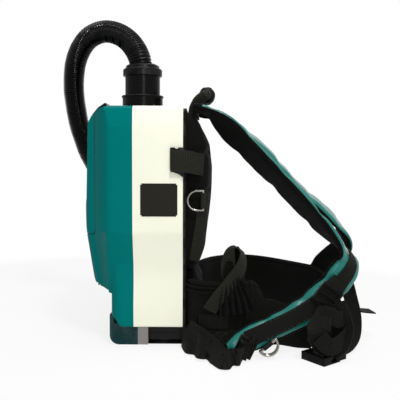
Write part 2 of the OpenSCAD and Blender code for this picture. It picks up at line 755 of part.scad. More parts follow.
function side_faces(first, rings, n) = [for (i = [0:rings - 2], k = [0:n - 1])
    let (a = first + i * n + k, b = first + i * n + (k + 1) % n) each [[a, a + n, b + n], [a, b + n, b]]];

// A cosine or sine made fuller, for a rounded rectangle
function full(c, power) = sign(c) * pow(abs(c), power);

// Closed solid through rings of points, with flat ends
module skin(rings) {
    n = len(rings[0]);
    last = (len(rings) - 1) * n;
    polyhedron(
        [for (r = rings) each r],
        concat(
            side_faces(0, len(rings), n),
            [for (k = [1:n - 2]) [0, k, k + 1]],
            [for (k = [1:n - 2]) [last, last + k + 1, last + k]]
        )
    );
}

// Tube with an outer and an inner skin
module pipe(outer, inner) {
    n = len(outer[0]);
    start = len(outer) * n;
    outer_end = start - n;
    inner_end = start + (len(inner) - 1) * n;
    polyhedron(
        concat([for (r = outer) each r], [for (r = inner) each r]),
        concat(
            side_faces(0, len(outer), n),
            [for (f = side_faces(start, len(inner), n)) [f[0], f[2], f[1]]],
            [for (k = [0:n - 1]) let (m = (k + 1) % n) each [[k, m, start + m], [k, start + m, start + k]]],
            [for (k = [0:n - 1]) let (m = (k + 1) % n) each [
                [outer_end + k, inner_end + m, outer_end + m],
                [outer_end + k, inner_end + k, inner_end + m]
            ]]
        )
    );
}

// Section of a flat band with eased edges, as [across, out]
function band_section(w, t) = let (e = min(t, w) * 0.3, c = min(t, w) * 0.45) [
    [w / 2, -t / 2 + c], [w / 2, t / 2 - c], [w / 2 - e, t / 2], [-w / 2 + e, t / 2],
    [-w / 2, t / 2 - c], [-w / 2, -t / 2 + c], [-w / 2 + e, -t / 2], [w / 2 - e, -t / 2],
];

// Flat band along a line: the sides give its width direction at each point
function band_rings(line, sides, sections) = [for (i = [0:len(line) - 1])
    let (t = tangent(line, i), s = across(sides[i], t), n = cross(t, s))
    [for (q = sections[i]) line[i] + s * q.x + n * q.y]];

module band(points, sides, w, t, steps = 4) {
    line = smooth(points, steps);
    turned = smooth(sides, steps);
    skin(band_rings(line, turned, [for (p = line) band_section(w, t)]));
}

// ---- harness --------------------------------------------------------------
// Its points are measured from the back plate's outer face, so it moves with the plate.

pad_top = unit_h - 8;

module harness() translate([plate_face, 0, 0]) children();

channel_depth = 4;

// Crowned pad standing on the plate: depths by height share, with sewn channels at some shares
module cushion(z0, z1, half, depths, channels, rows) {
    shares = [-1, -0.97, -0.8, -0.44, -0.38, -0.32, 0, 0.32, 0.38, 0.44, 0.8, 0.97, 1];
    skin([for (i = [0:rows])
        let (
            u = i / rows,
            z = z0 + (z1 - z0) * u,
            sewn = len([for (c = channels) if (abs(u - c) < 0.5 / rows) c]) > 0,
            depth = lookup(u, depths) - (sewn ? channel_depth : 0),
            b = half * lookup(u, [[0, 0.84], [0.07, 0.96], [0.3, 1], [0.7, 1], [0.93, 0.96], [1, 0.84]])
        )
        concat(
            [[gap, b, z], [gap, -b, z]],
            [for (v = shares) let (
                crown = abs(v) > 0.99 ? 0.62 : 1 - 0.2 * pow(abs(v), 3),
                seam = abs(abs(v) - 0.38) < 0.01 ? channel_depth : 0
            ) [max(4, depth * crown - seam), b * v, z]]
        )]);
}

module back_pad() color(cloth_black) harness()
    cushion(122, pad_top, pad_w / 2, [
        [0, pad_t * 0.46], [0.12, pad_t * 0.74], [0.45, pad_t * 0.97], [0.65, pad_t * 1.03],
        [0.8, pad_t * 0.92], [0.93, pad_t * 0.54], [1, pad_t * 0.26]
    ], [0.25, 0.5, 0.75], 16);

module lumbar_pad() color(cloth_black) harness()
    cushion(20, 118, 68, [[0, 14], [0.2, 24], [0.5, 28], [0.8, 25], [1, 15]], [0.5], 8);

// Section of a padded band: a full edge and a crowned face
function pad_section(w, t) = [for (a = [15:30:345]) [w / 2 * full(cos(a), 0.35), t / 2 * full(sin(a), 0.6)]];

module padded_band(points, sides, widths, t, steps = 3) {
    line = smooth(points, steps);
    turned = smooth(sides, steps);
    n = len(line) - 1;
    skin(band_rings(line, turned, [for (i = [0:n]) pad_section(
        lookup(i / n, widths), t * (i % (2 * steps) == steps ? 0.72 : 1))]));
}

near_wing_h = 106;
far_wing_h = 97;
near_wing_route = [
    [7.2, -76], [7.7, -92], [19, -110], [36, -118], [56, -120], [80, -117], [101, -108], [114, -96],
];
far_wing_route = [
    [7.2, 76], [7.9, 92], [23, 121], [46, 158], [84, 184], [118, 182], [146, 165], [172, 139],
    [206, 98], [234, 62], [250, 36],
];

// Padded wing of the hip belt, standing on the floor
module hip_wing(route, height) color(cloth_black) harness()
    padded_band([for (p = route) [p.x, p.y, height / 2 + 3]], [for (p = route) [0, 0, 1]],
        [[0, height - 10], [0.15, height], [0.88, height], [0.95, height * 0.88], [1, height * 0.66]],
        wing_t);

module hip_wing_near() hip_wing(near_wing_route, near_wing_h);
module hip_wing_far() hip_wing(far_wing_route, far_wing_h);

// Shoulder straps: over the pad's top, out in an arch and back along the floor.
// Their heights are listed for a pad top of 367 mm; the arch rises with the pad, the rest stays.
arch_z = 120;
function risen(route) = [for (p = route)
    [p.x, p.y, p.z + (pad_top - 367) * max(0, p.z - arch_z) / (367 - arch_z)]];

near_strap_route = risen([
    [10, -63, 375], [36, -63, 361], [66, -66, 333], [106, -75, 297], [145, -84, 259], [179, -92, 224],
    [211, -98, 190], [238, -103, 161], [249, -108, 137], [235, -116, 114], [205, -123, 91], [166, -130, 68],
    [122, -137, 46], [90, -142, 33], [70, -145, 27],
]);
near_strap_sides = [
    [0, -1, 0], [0.1, -0.98, 0.1], [0.28, -0.9, 0.3], [0.25, -0.92, 0.25], [0.22, -0.94, 0.22],
    [0.2, -0.95, 0.2], [0.15, -0.97, 0.15], [-0.2, -0.96, 0.1], [-0.75, -0.62, 0.2], [-0.7, -0.42, 0.58],
    [-0.6, -0.36, 0.7], [-0.52, -0.32, 0.78], [-0.45, -0.3, 0.84], [-0.4, -0.28, 0.87], [-0.4, -0.28, 0.87],
];
far_strap_route = risen([
    [10, 63, 376], [42, 63, 371], [82, 63, 350], [137, 66, 303], [186, 68, 246], [232, 70, 206],
    [265, 73, 175], [282, 77, 149], [276, 84, 120], [258, 94, 92], [240, 110, 62], [214, 136, 42],
    [184, 166, 34], [158, 190, 33],
]);
far_strap_sides = [
    [-0.1, -0.98, -0.1], [-0.15, -0.97, -0.15], [-0.15, -0.97, -0.15], [-0.1, -0.98, -0.1],
    [-0.1, -0.98, -0.1], [-0.1, -0.98, -0.15], [-0.1, -0.96, -0.2], [0.2, -0.94, -0.2],
    [0.45, -0.8, -0.35], [0.6, -0.62, -0.5], [0.5, -0.42, -0.75], [0.2, -0.1, -0.97], [0.1, 0.05, -0.99],
    [0.1, 0.1, -0.99],
];
strap_widths = [
    [0, strap_w * 0.9], [0.1, strap_w], [0.92, strap_w], [0.97, strap_w * 0.86], [1, strap_w * 0.6],
];

module shoulder_strap_near() color(teal) harness()
    padded_band(near_strap_route, near_strap_sides, strap_widths, strap_t);
module shoulder_strap_far() color(teal) harness()
    padded_band(far_strap_route, far_strap_sides, strap_widths, strap_t);

// Webbing laid on a strap's outer face between two of its points
module face_webbing(route, sides, first, last) {
    line = smooth(route, 3);
    turned = smooth(sides, 3);
    out = strap_t / 2 + webbing_t / 2 + gap;
    skin([for (i = [first * 3:last * 3])
        let (t = tangent(line, i), s = across(turned[i], t), n = cross(t, s))
        [for (q = band_section(webbing_w, webbing_t)) line[i] + s * q.x + n * (q.y - out)]]);
}

module strap_webbing_near() color(black) harness() face_webbing(near_strap_route, near_strap_sides, 7, 12);
module strap_webbing_far() color(black) harness() face_webbing(far_strap_route, far_strap_sides, 9, 12);

// Wide straps from the clips on the shell, over their outer faces, to the pad's sides
clip_z = base_h + 242;
clip_t = 4;
wrap_w = 33;
wrap_t = 2.4;
wrap_y = hw + clip_t + wrap_t / 2 + gap;
module wrap_strap(s) color([0.2, 0.2, 0.2]) harness()
    band([
        [-plate_t - 17, s * wrap_y, clip_z + 15], [-plate_t + 3, s * wrap_y, clip_z + 14],
        [7, s * (wrap_y - 3), clip_z + 13], [17, s * (wrap_y - 14), clip_z + 10.5],
        [26, s * (pad_w / 2 + 6), clip_z + 9]
    ], [for (i = [0:4]) [0, 0, 1]], wrap_w, wrap_t);
module wrap_strap_near() wrap_strap(-1);
module wrap_strap_far() wrap_strap(1);

module wrap_clips() color(black) for (s = [-1, 1]) along_y(clip_t, s * (hw + clip_t / 2))
    translate([rear_d, clip_z]) polygon([
        [-19, 1], [-14, -2], [-6, -5], [1, -10], [2, -10], [2, 35], [-7, 35], [-7.5, 33], [-10.5, 33],
        [-12, 35], [-19, 35],
    ]);

// D-ring lying in X and Z: a straight bar at the origin, two legs and a half-round bow towards -X
module d_ring(leg) {
    cylinder(r = ring_wire, h = 2 * ring_r, center = true);
    for (s = [-1, 1]) translate([0, 0, s * ring_r]) {
        sphere(ring_wire);
        if (leg > 0) rotate([0, -90, 0]) cylinder(r = ring_wire, h = leg);
    }
    translate([-leg, 0, 0]) rotate([0, -90, 0]) rotate([90, 0, 0])
        rotate_extrude(angle = 180) translate([ring_r, 0]) circle(ring_wire);
}

ring_r = webbing_w / 2 + 2.5; // the webbing's loop fits between the ring's sides
ring_leg = 9;
upper_ring = [26, pad_w / 2 + 8, 231];
loop_bore = ring_wire + 0.35;

module d_ring_upper(s) color(steel) harness()
    translate([upper_ring.x, s * upper_ring.y, upper_ring.z]) d_ring(ring_leg);
module d_ring_upper_near() d_ring_upper(-1);
module d_ring_upper_far() d_ring_upper(1);

// Webbing on the pad's sides: a loop round each ring's bar and a strip that hangs from it
module pad_webbing() color(cloth_black) harness() for (s = [-1, 1]) {
    translate([upper_ring.x, s * upper_ring.y, upper_ring.z]) difference() {
        union() {
            cylinder(r = loop_bore + webbing_t, h = webbing_w, center = true);
            scale([1, s, 1])
                slab([0.8, 3.6], [pad_w / 2 + gap - upper_ring.y, 0], [-webbing_w / 2, webbing_w / 2]);
        }
        cylinder(r = loop_bore, h = webbing_w + 2, center = true);
    }
    side = pad_w / 2 + webbing_t / 2 + gap;
    z = upper_ring.z - webbing_w / 2 - 1.5; // top of the strip, under the loop
    band(
        [[24, s * side, z], [22, s * side, z - 17], [17, s * (side - 1), z - 47],
            [12, s * (side - 4), z - 81]],
        [for (i = [0:3]) [1, 0, 0]], 16, webbing_t);
}

// Grab handle over the pad's top
handle_r = 7.5;
handle_grip_r = 13;
handle_x = 32; // how far the grip stands out of the plate
handle_z = pad_top + 33;
handle_line = [
    [8, -25, pad_top + gap], [8, -25, pad_top + 10], [13, -28, pad_top + 22], [24, -32, handle_z - 3],
    [handle_x, -27, handle_z], [handle_x, 27, handle_z], [24, 32, handle_z - 3], [13, 28, pad_top + 22],
    [8, 25, pad_top + 10], [8, 25, pad_top + gap],
];

module carry_handle() color(cloth_black) harness()
    skin(round_rings(handle_line, [for (p = handle_line) handle_r], 12));

module handle_grip() color(rubber_black) harness()
    translate([handle_x, 0, handle_z]) rotate([90, 0, 0]) difference() {
        cylinder(r = handle_grip_r, h = 44, center = true);
        cylinder(r = handle_r + gap, h = 46, center = true);
        for (z = [-18:6:18]) translate([0, 0, z]) difference() {
            cylinder(r = handle_grip_r + 1, h = 1.6, center = true);
            cylinder(r = handle_grip_r - 0.8, h = 3, center = true);
        }
    }

// Two D-rings on the near strap's lower end, hung side by side on one tilted line
lower_ring = [122, -146.7, 22];
lower_ring_tilt = 50; // lean of the rings' bars from the vertical
ring_pitch = 6;
loop_t = 1.2;

module lower_ring_place(k) harness() translate(lower_ring - [0, k * ring_pitch, 0])
    rotate([0, lower_ring_tilt, 0]) rotate([0, 0, 180]) children();
module d_ring_lower_outer() color(steel) lower_ring_place(1) d_ring(0);
module d_ring_lower_inner() color(steel) lower_ring_place(0) d_ring(0);

// Frame buckles, as plates in X and Z with two slots
module frame_buckle(w, h, t) rotate([90, 0, 0]) linear_extrude(t, center = true) difference() {
    square([w, h], center = true);
    for (s = [-1, 1]) translate([0, s * h * 0.2]) square([w - 7, h * 0.2], center = true);
}

module ladder_lock() color(black) harness()
    translate([89, -154.7, 21]) rotate([0, 25, 0]) frame_buckle(webbing_w + 3, 30, 5);

module strap_slider() color(black) harness()
    translate([211, -140.3, 95]) rotate([0, 35, 0]) frame_buckle(webbing_w + 9, 30, 6);

// Webbing from the ladder lock over the floor to the plate's foot, with the lower rings' loops
module lower_webbing() color(cloth_black) {
    harness() band(
        [[84, -161.8, 17], [74, -171, 12], [57, -187, 7.5], [37, -176, 10], [20, -150, 14], [8, -124, 18],
            [3, -104, 20]],
        [[0.2, 0.1, 0.95], [0.3, -0.2, 0.9], [0.3, -0.9, 0.15], [-0.1, -0.8, 0.4], [0.1, -0.2, 0.95],
            [0, 0, 1], [0, 0, 1]],
        webbing_w, webbing_t);
    loop_hw = webbing_w / 3;
    for (k = [0, 1]) lower_ring_place(k) difference() {
        union() {
            cylinder(r = loop_bore + loop_t, h = 2 * loop_hw, center = true);
            slab([0, 12], [-loop_bore - loop_t + 0.3, -loop_bore + 0.6], [-loop_hw + 0.5, loop_hw - 0.5]);
        }
        cylinder(r = loop_bore, h = webbing_w, center = true);
    }
}

// Compression webbing of the near wing: up, over a soft fold and down across the wing
module wing_webbing() color(cloth_black) harness()
    band(
        [[56, -121, 113], [54, -123, 134], [58, -125, 156], [70, -127, 166], [82, -130, 156],
            [80, -132, 134], [64, -133, 110], [45, -132.4, 84], [28, -128.6, 58]],
        [[0.9, -0.4, 0], [0.85, -0.5, 0], [0.5, -0.8, -0.1], [0.1, -0.95, 0.1], [-0.3, -0.9, 0.2],
            [-0.6, -0.6, 0.4], [-0.75, -0.25, 0.5], [-0.75, -0.15, 0.55], [-0.75, -0.2, 0.55]],
        webbing_w, webbing_t);

// Chest webbing, from the slider down to the buckle
module chest_webbing() color(cloth_black) harness()
    band(
        [[208, -144.5, 88], [210, -146, 66], [201, -148, 46], [192, -154, 27], [189.6, -158.8, 14],
            [189.6, -159.1, 3]],
        [[0.9, 0, 0.35], [0.95, 0, 0.1], [0.95, -0.1, 0], [0.8, -0.6, 0], [0.62, -0.79, 0],
            [0.62, -0.79, 0]],
        webbing_w, webbing_t);

belt_w = 36;

// Hip belt webbing from the far wing's end, arching down to the buckle on the floor, and its loose tail
module belt_webbing() color(cloth_black) harness() {
    band(
        [[254.6, 21.2, 52], [260, 9, 78], [268, -4, 91], [276, -18, 82], [281, -34, 57], [278, -58, 32],
            [268, -82, 14], [250, -108, 6], [229, -128.5, 6.2]],
        [[0.1, 0.1, 1], [0.5, -0.4, 0.7], [0.6, -0.75, 0.2], [0.5, -0.8, 0.3], [0.4, -0.88, 0.25],
            [0.5, -0.85, 0.15], [0.6, -0.8, 0], [0.6, -0.8, 0], [0.62, -0.79, 0]],
        belt_w, webbing_t);
    band([[282, -34, 48], [296, -31, 45], [317, -26, 42]], [[0, 1, 0], [0, 1, 0], [0.1, 1, 0]],
        webbing_w, webbing_t);
}

// Side-release buckle, flat on the floor: a sleeve, and a clip whose prongs are in it
buckle_at = [214, -140, 6.2];
buckle_turn = 38;
module buckle_place() harness() translate(buckle_at) rotate([0, 0, buckle_turn]) children();

module buckle_female() color(black) buckle_place() difference() {
    slab([-36, 0], [-22, 22], [-6, 6]);
    slab([-26, 1], [-18.4, 18.4], [-3.4, 3.4]);
    for (s = [-1, 1]) slab([-20, -6], [s * 20 - 3, s * 20 + 3], [-3.4, 3.4]);
    slab([-33, -29], [-19, 19], [-7, 7]);
}

module buckle_male() color(black) buckle_place() {
    difference() {
        slab([gap, 15], [-21, 21], [-5, 5]);
        slab([7, 11], [-18, 18], [-7, 7]);
    }
    for (s = [-1, 1]) {
        slab([-20, gap + 0.01], [s * 14 - 2.5, s * 14 + 2.5], [-3, 3]);
        slab([-22, -8], [s * 17 - 1.2, s * 17 + 1.2], [-3, 3]);
    }
    slab([-18, gap + 0.01], [-2, 2], [-3, 3]);
}

// ---- switch box on the far wing -------------------------------------------

box_at = [101, 186.3 + wing_t / 2, 56];
box_turn = 2; // the wing's heading here, from the X axis
box_l = 64;
box_hgt = 34;
box_t = 16;
key_travel = 1;

module box_place() harness() translate(box_at) rotate([0, 0, -box_turn]) children();

module control_box() color(black) box_place() difference() {
    union() {
        slab([-box_l / 2, box_l / 2], [0, box_t], [-box_hgt / 2, box_hgt / 2]);
        // gland for the lead
        translate([-box_l / 2 - 7, box_t / 2, 0]) rotate([0, 90, 0]) cylinder(r = 4.5, h = 8);
    }
    for (x = [-15, 15]) slab([x - 9, x + 9], [box_t - 4, box_t + 1], [-8, 8]);
    translate([-box_l / 2 - 8, box_t / 2, 0]) rotate([0, 90, 0]) cylinder(r = 2.5, h = 7);
}

module key(x, shade) color(shade) box_place()
    slab([x - 8.7, x + 8.7], [box_t - 4 + key_travel + gap, box_t + 1.4], [-7.7, 7.7]);
module power_button() key(-15, [0.7, 0.1, 0.08]);
module mode_button() key(15, [0.5, 0.5, 0.52]);

rear_shell();
front_shell();
bottom_guard();
guard_band();
back_plate();
chamber_floor();
inlet_collar();
dust_cover();
cover_hinge_pin();
cover_seal();
cover_latch();
latch_pin();
bag_holder();
dust_bag();
hepa_filter();
motor_housing();
motor_mount_rings();
motor_body();
fan_rotor();
control_board();
battery_rails();
battery_left();
battery_right();
battery_button_left();
battery_button_right();
rating_plate();
shell_screws();
hose_cuff();
hose();
hose_end_cuff();
back_pad();
lumbar_pad();
hip_wing_near();
hip_wing_far();
shoulder_strap_near();
shoulder_strap_far();
strap_webbing_near();
strap_webbing_far();
wrap_strap_near();
wrap_strap_far();
wrap_clips();
pad_webbing();
carry_handle();
handle_grip();
d_ring_upper_near();
d_ring_upper_far();
d_ring_lower_outer();
d_ring_lower_inner();
ladder_lock();
lower_webbing();
wing_webbing();
strap_slider();
chest_webbing();
belt_webbing();
buckle_female();
buckle_male();
control_box();
power_button();
mode_button();
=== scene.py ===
"""Backpack vacuum cleaner: shells, fabric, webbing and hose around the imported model."""
import math

import bmesh
import bpy
from mathutils import Matrix, Vector, noise
from mathutils.bvhtree import BVHTree


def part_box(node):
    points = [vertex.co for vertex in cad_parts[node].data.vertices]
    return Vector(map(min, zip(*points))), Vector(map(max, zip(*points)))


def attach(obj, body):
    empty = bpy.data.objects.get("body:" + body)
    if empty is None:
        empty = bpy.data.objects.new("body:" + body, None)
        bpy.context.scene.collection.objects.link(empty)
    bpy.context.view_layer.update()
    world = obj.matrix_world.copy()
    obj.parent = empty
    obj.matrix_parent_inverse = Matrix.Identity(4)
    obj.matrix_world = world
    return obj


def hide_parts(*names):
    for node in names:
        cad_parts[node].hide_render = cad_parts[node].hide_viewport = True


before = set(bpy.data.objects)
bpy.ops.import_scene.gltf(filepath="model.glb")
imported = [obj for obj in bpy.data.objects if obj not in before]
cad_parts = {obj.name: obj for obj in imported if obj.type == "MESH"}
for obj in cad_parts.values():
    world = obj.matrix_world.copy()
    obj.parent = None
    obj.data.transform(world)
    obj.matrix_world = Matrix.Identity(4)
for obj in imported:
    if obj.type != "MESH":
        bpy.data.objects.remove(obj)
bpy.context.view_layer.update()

bl_info = {
    "name": "Backpack vacuum cleaner",
    "version": (1, 0, 0),
    "blender": (4, 5, 0),
    "location": "View3D > Sidebar > Vacuum",
    "description": "Builds the visible pieces of a backpack vacuum cleaner around its packed model",
    "category": "Add Mesh",
}

MM = 0.001
PLATE_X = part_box("back_plate")[1].x  # outer face of the back plate, which the harness is measured from
PAD_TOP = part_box("back_pad")[1].z
STRAP_T = 13 * MM
WEBBING_W = 25 * MM
WEBBING_T = 2 * MM
HOSE_D = 38 * MM


def srgb(red, green, blue):
    """Linear colour of an 8-bit one."""
    def linear(c):
        c /= 255
        return c / 12.92 if c <= 0.04045 else ((c + 0.055) / 1.055) ** 2.4
    return linear(red), linear(green), linear(blue)


# ---- settings ---------------------------------------------------------------

def colour_property(name, default):
    return bpy.props.FloatVectorProperty(
        name=name, description=f"{name} colour", subtype="COLOR", size=3, min=0, max=1, default=default)


def length_property(name, description, default):
    return bpy.props.FloatProperty(
        name=name, description=description, unit="LENGTH", min=0, default=default, precision=4)


class VACUUM_PG_sizes(bpy.types.PropertyGroup):
    """Sizes of what is shaped here."""
    shell_round: length_property("Shell rounding", "Width of the rounding between facets", 3.4 * MM)
    edge_round: length_property("Edge rounding", "Width of the rounding on moulded edges", 0.7 * MM)
    piping: length_property("Piping", "Radius of the piping on the padded pieces", 1.5 * MM)
    stitch: length_property("Stitch", "Length of a stitch", 3.2 * MM)
    hose_ribs: bpy.props.IntProperty(
        name="Hose ribs", description="Number of ribs on the hose", min=40, default=224)


class VACUUM_PG_colours(bpy.types.PropertyGroup):
    """Colours of the main materials."""
    teal: colour_property("Teal shell", srgb(0, 115, 113))
    cream: colour_property("Pale shell", srgb(251, 252, 231))
    # The guard is teal plastic: this colour is teal darkened to the shade under the shell's overhang,
    # painted shade.
    guard: colour_property("Guard", srgb(17, 58, 62))
    # The band is cream plastic: this grey is cream darkened to the shade under the shell's overhang,
    # painted shade.
    band: colour_property("Band", srgb(160, 155, 151))
    black: colour_property("Black plastic", srgb(8, 8, 8))
    cloth: colour_property("Black cloth", srgb(12, 12, 11))
    webbing: colour_property("Webbing", srgb(28, 28, 23))
    strap: colour_property("Strap cloth", srgb(15, 110, 102))
    # Darker than bare steel, to stand for the dark surroundings that it reflects: painted reflection.
    steel: colour_property("Steel", srgb(150, 148, 141))


# ---- materials --------------------------------------------------------------

class Value:
    """A shader value. An expression on it adds the nodes that work it out."""

    def __init__(self, nodes, socket):
        self.nodes = nodes
        self.socket = socket

    def maths(self, operation, *values):
        return self.nodes.add("ShaderNodeMath", {"operation": operation}, dict(enumerate(values)))

    def __add__(self, other):
        return self.maths("ADD", self, other)

    def __sub__(self, other):
        return self.maths("SUBTRACT", self, other)

    def __rsub__(self, other):
        return self.maths("SUBTRACT", other, self)

    def __mul__(self, other):
        return self.maths("MULTIPLY", self, other)

    __radd__ = __add__
    __rmul__ = __mul__

    def sine(self):
        return self.maths("SINE", self)

    def size(self):
        return self.maths("ABSOLUTE", self)

    def fraction(self):
        return self.maths("FRACT", self)

    def bigger(self, other):
        return self.maths("MAXIMUM", self, other)

    def step(self, low, high):
        """0 below low, 1 above high, smooth between them."""
        return self.nodes.add(
            "ShaderNodeMapRange", {"interpolation_type": "SMOOTHSTEP"},
            {"Value": self, "From Min": low, "From Max": high})

    def parts(self):
        node = self.nodes.add("ShaderNodeSeparateXYZ", {}, {0: self}).socket.node
        return [Value(self.nodes, out) for out in node.outputs]


class Nodes:
    """The nodes of one tree."""

    def __init__(self, tree):
        self.tree = tree

    def add(self, kind, settings, values, output=0):
        """Adds a node: its settings first, then the values or links of its sockets."""
        node = self.tree.nodes.new(kind)
        for key, value in settings.items():
            setattr(node, key, value)
        for key, value in values.items():
            self.put(node.inputs[key], value)
        return Value(self, node.outputs[output])

    def put(self, socket, value):
        if isinstance(value, Value):
            self.tree.links.new(value.socket, socket)
        else:
            socket.default_value = value

    def seen_rays(self):
        """1 for rays that look at the background, also in a reflection, and 0 for those that light."""
        paths = self.add("ShaderNodeLightPath", {}, {}).socket.node
        seen, glossy, through = (Value(self, paths.outputs[f"Is {ray} Ray"])
                                 for ray in ("Camera", "Glossy", "Transmission"))
        return seen.bigger(glossy).bigger(through)


class Paint(Nodes):
    """A material with one Principled shader. Numbers that don't vary are set on the shader itself."""

    def __init__(self, name, colour, roughness, **constants):
        self.material = bpy.data.materials.new(name + "_finish")
        self.material.use_nodes = True
        self.material.diffuse_color = (*colour, 1)
        super().__init__(self.material.node_tree)
        self.shader = next(n for n in self.tree.nodes if n.type == "BSDF_PRINCIPLED")
        self.colour = (*colour, 1)
        self.shader.inputs["Base Color"].default_value = self.colour
        self.shader.inputs["Roughness"].default_value = roughness
        for key, value in constants.items():
            self.shader.inputs[key.replace("_", " ")].default_value = value

    def place(self):
        return self.add("ShaderNodeTexCoord", {}, {}, "Object")

    def cloth_place(self):
        return self.add("ShaderNodeTexCoord", {}, {}, "UV")

    def edges(self, low, high):
        """Share of wear: 1 on sharp outer edges."""
        return self.add("ShaderNodeNewGeometry", {}, {}, "Pointiness").step(low, high)

    def cloud(self, place, scale, detail):
        return self.add("ShaderNodeTexNoise", {}, {"Vector": place, "Scale": scale, "Detail": detail})

    def mix(self, share, first, second):
        node = self.add("ShaderNodeMix", {"data_type": "RGBA"}, {0: share}).socket.node
        self.put(node.inputs[6], first)
        self.put(node.inputs[7], second)
        return Value(self, node.outputs[2])

    def shades(self, share, dark, light):
        """The base colour, from dark to light times its own, as share goes from 0 to 1."""
        ends = [(*[min(1, c * k) for c in self.colour[:3]], 1) for k in (dark, light)]
        return self.mix(share, *ends)

    def finish(self, colour, roughness, height, distance):
        """Links what varies over the surface. The height is a bump as deep as the distance."""
        bump = self.add("ShaderNodeBump", {}, {"Height": height, "Distance": distance, "Strength": 1.0})
        for name, value in (("Base Color", colour), ("Roughness", roughness), ("Normal", bump)):
            self.put(self.shader.inputs[name], value)


def moulded(name, colour, roughness, grain, depth, wear, gloss):
    """Moulded plastic: faint mottling, an eroded grain, handling marks and, with wear, pale edges."""
    paint = Paint(name, colour, roughness, Specular_IOR_Level=gloss)
    place = paint.place()
    shade = paint.shades(paint.cloud(place, 9, 3), 0.94, 1.05)
    if wear:
        rubbed = paint.edges(0.53, 0.62) * paint.cloud(place, 55, 4).step(0.42, 0.62) * wear
        paler = (*[c * 0.5 + 0.16 for c in colour], 1)
        shade = paint.mix(rubbed, shade, paler)
    marks = paint.cloud(place, 26, 5).step(0.35, 0.75)
    paint.finish(shade, marks * 0.08 + (roughness - 0.03), paint.cloud(place, grain, 1), depth)


def woven(name, colour, pitch, roughness, depth, sheen, folds, gloss):
    """Plain weave that follows the piece's own map, lighter where the weave stands high and darker where it
    lies low, with random tone and, with folds, soft creases.
    """
    paint = Paint(name, colour, roughness, Sheen_Weight=sheen, Sheen_Roughness=0.5,
                  Specular_IOR_Level=gloss)
    across, along, _ = paint.cloth_place().parts()
    turn = math.tau / pitch
    weave = ((across * turn).sine() * (along * turn).sine()) * 0.5 + 0.5
    place = paint.place()
    fade = paint.cloud(place, 14, 4)
    # The weave's share of the colour follows its bump: lighter on the high spots, darker in the low ones.
    shade = paint.shades(fade * 0.7 + weave * 0.3, 0.72, 1.3)
    height = weave * (1 - folds) + paint.cloud(place, 60, 3) * folds
    paint.finish(shade, fade * 0.12 + (roughness - 0.08), height, depth * (1 + 6 * folds))


def ribbed(name, colour):
    """Woven belt: slanted ribs that meet in a herringbone, and a plain edge."""
    pitch, slant, lane, thread = 3.2 * MM, 3 * MM, 6.4 * MM, 1.1 * MM
    half = WEBBING_W / 2
    paint = Paint(name, colour, 0.62, Sheen_Weight=0.02, Specular_IOR_Level=0.08)
    across, along, _ = paint.cloth_place().parts()
    bend = (across * (1 / lane)).fraction() - 0.5
    ribs = ((along + bend.size() * slant) * (math.tau / pitch)).sine() * 0.5 + 0.5
    edge = across.size().step(half - 2.4 * MM, half - 1.6 * MM)
    threads = (across * (math.tau / thread)).sine() * 0.15
    fade = paint.cloud(paint.place(), 20, 4)
    # The colour follows the ribs' height: painted shade in the hollows between ribs and painted highlight
    # on their crests, with random tone from fade.
    shade = paint.shades(ribs * 0.7 + fade * 0.3, 0.12, 2.6)
    paint.finish(shade, fade * 0.14 + 0.55, ribs * (1 - edge) + threads, 0.5 * MM)


def bare_metal(name, colour, roughness):
    paint = Paint(name, colour, roughness, Metallic=1.0)
    place = paint.place()
    scratches = paint.cloud(place, 380, 5).step(0.45, 0.7)
    dulled = paint.shades(paint.cloud(place, 45, 3), 0.82, 1.05)
    paint.finish(dulled, scratches * 0.12 + roughness, scratches, 0.01 * MM)


BELT_SHADE = 0.27  # colour of the harness's belts, as a share of the side straps' webbing


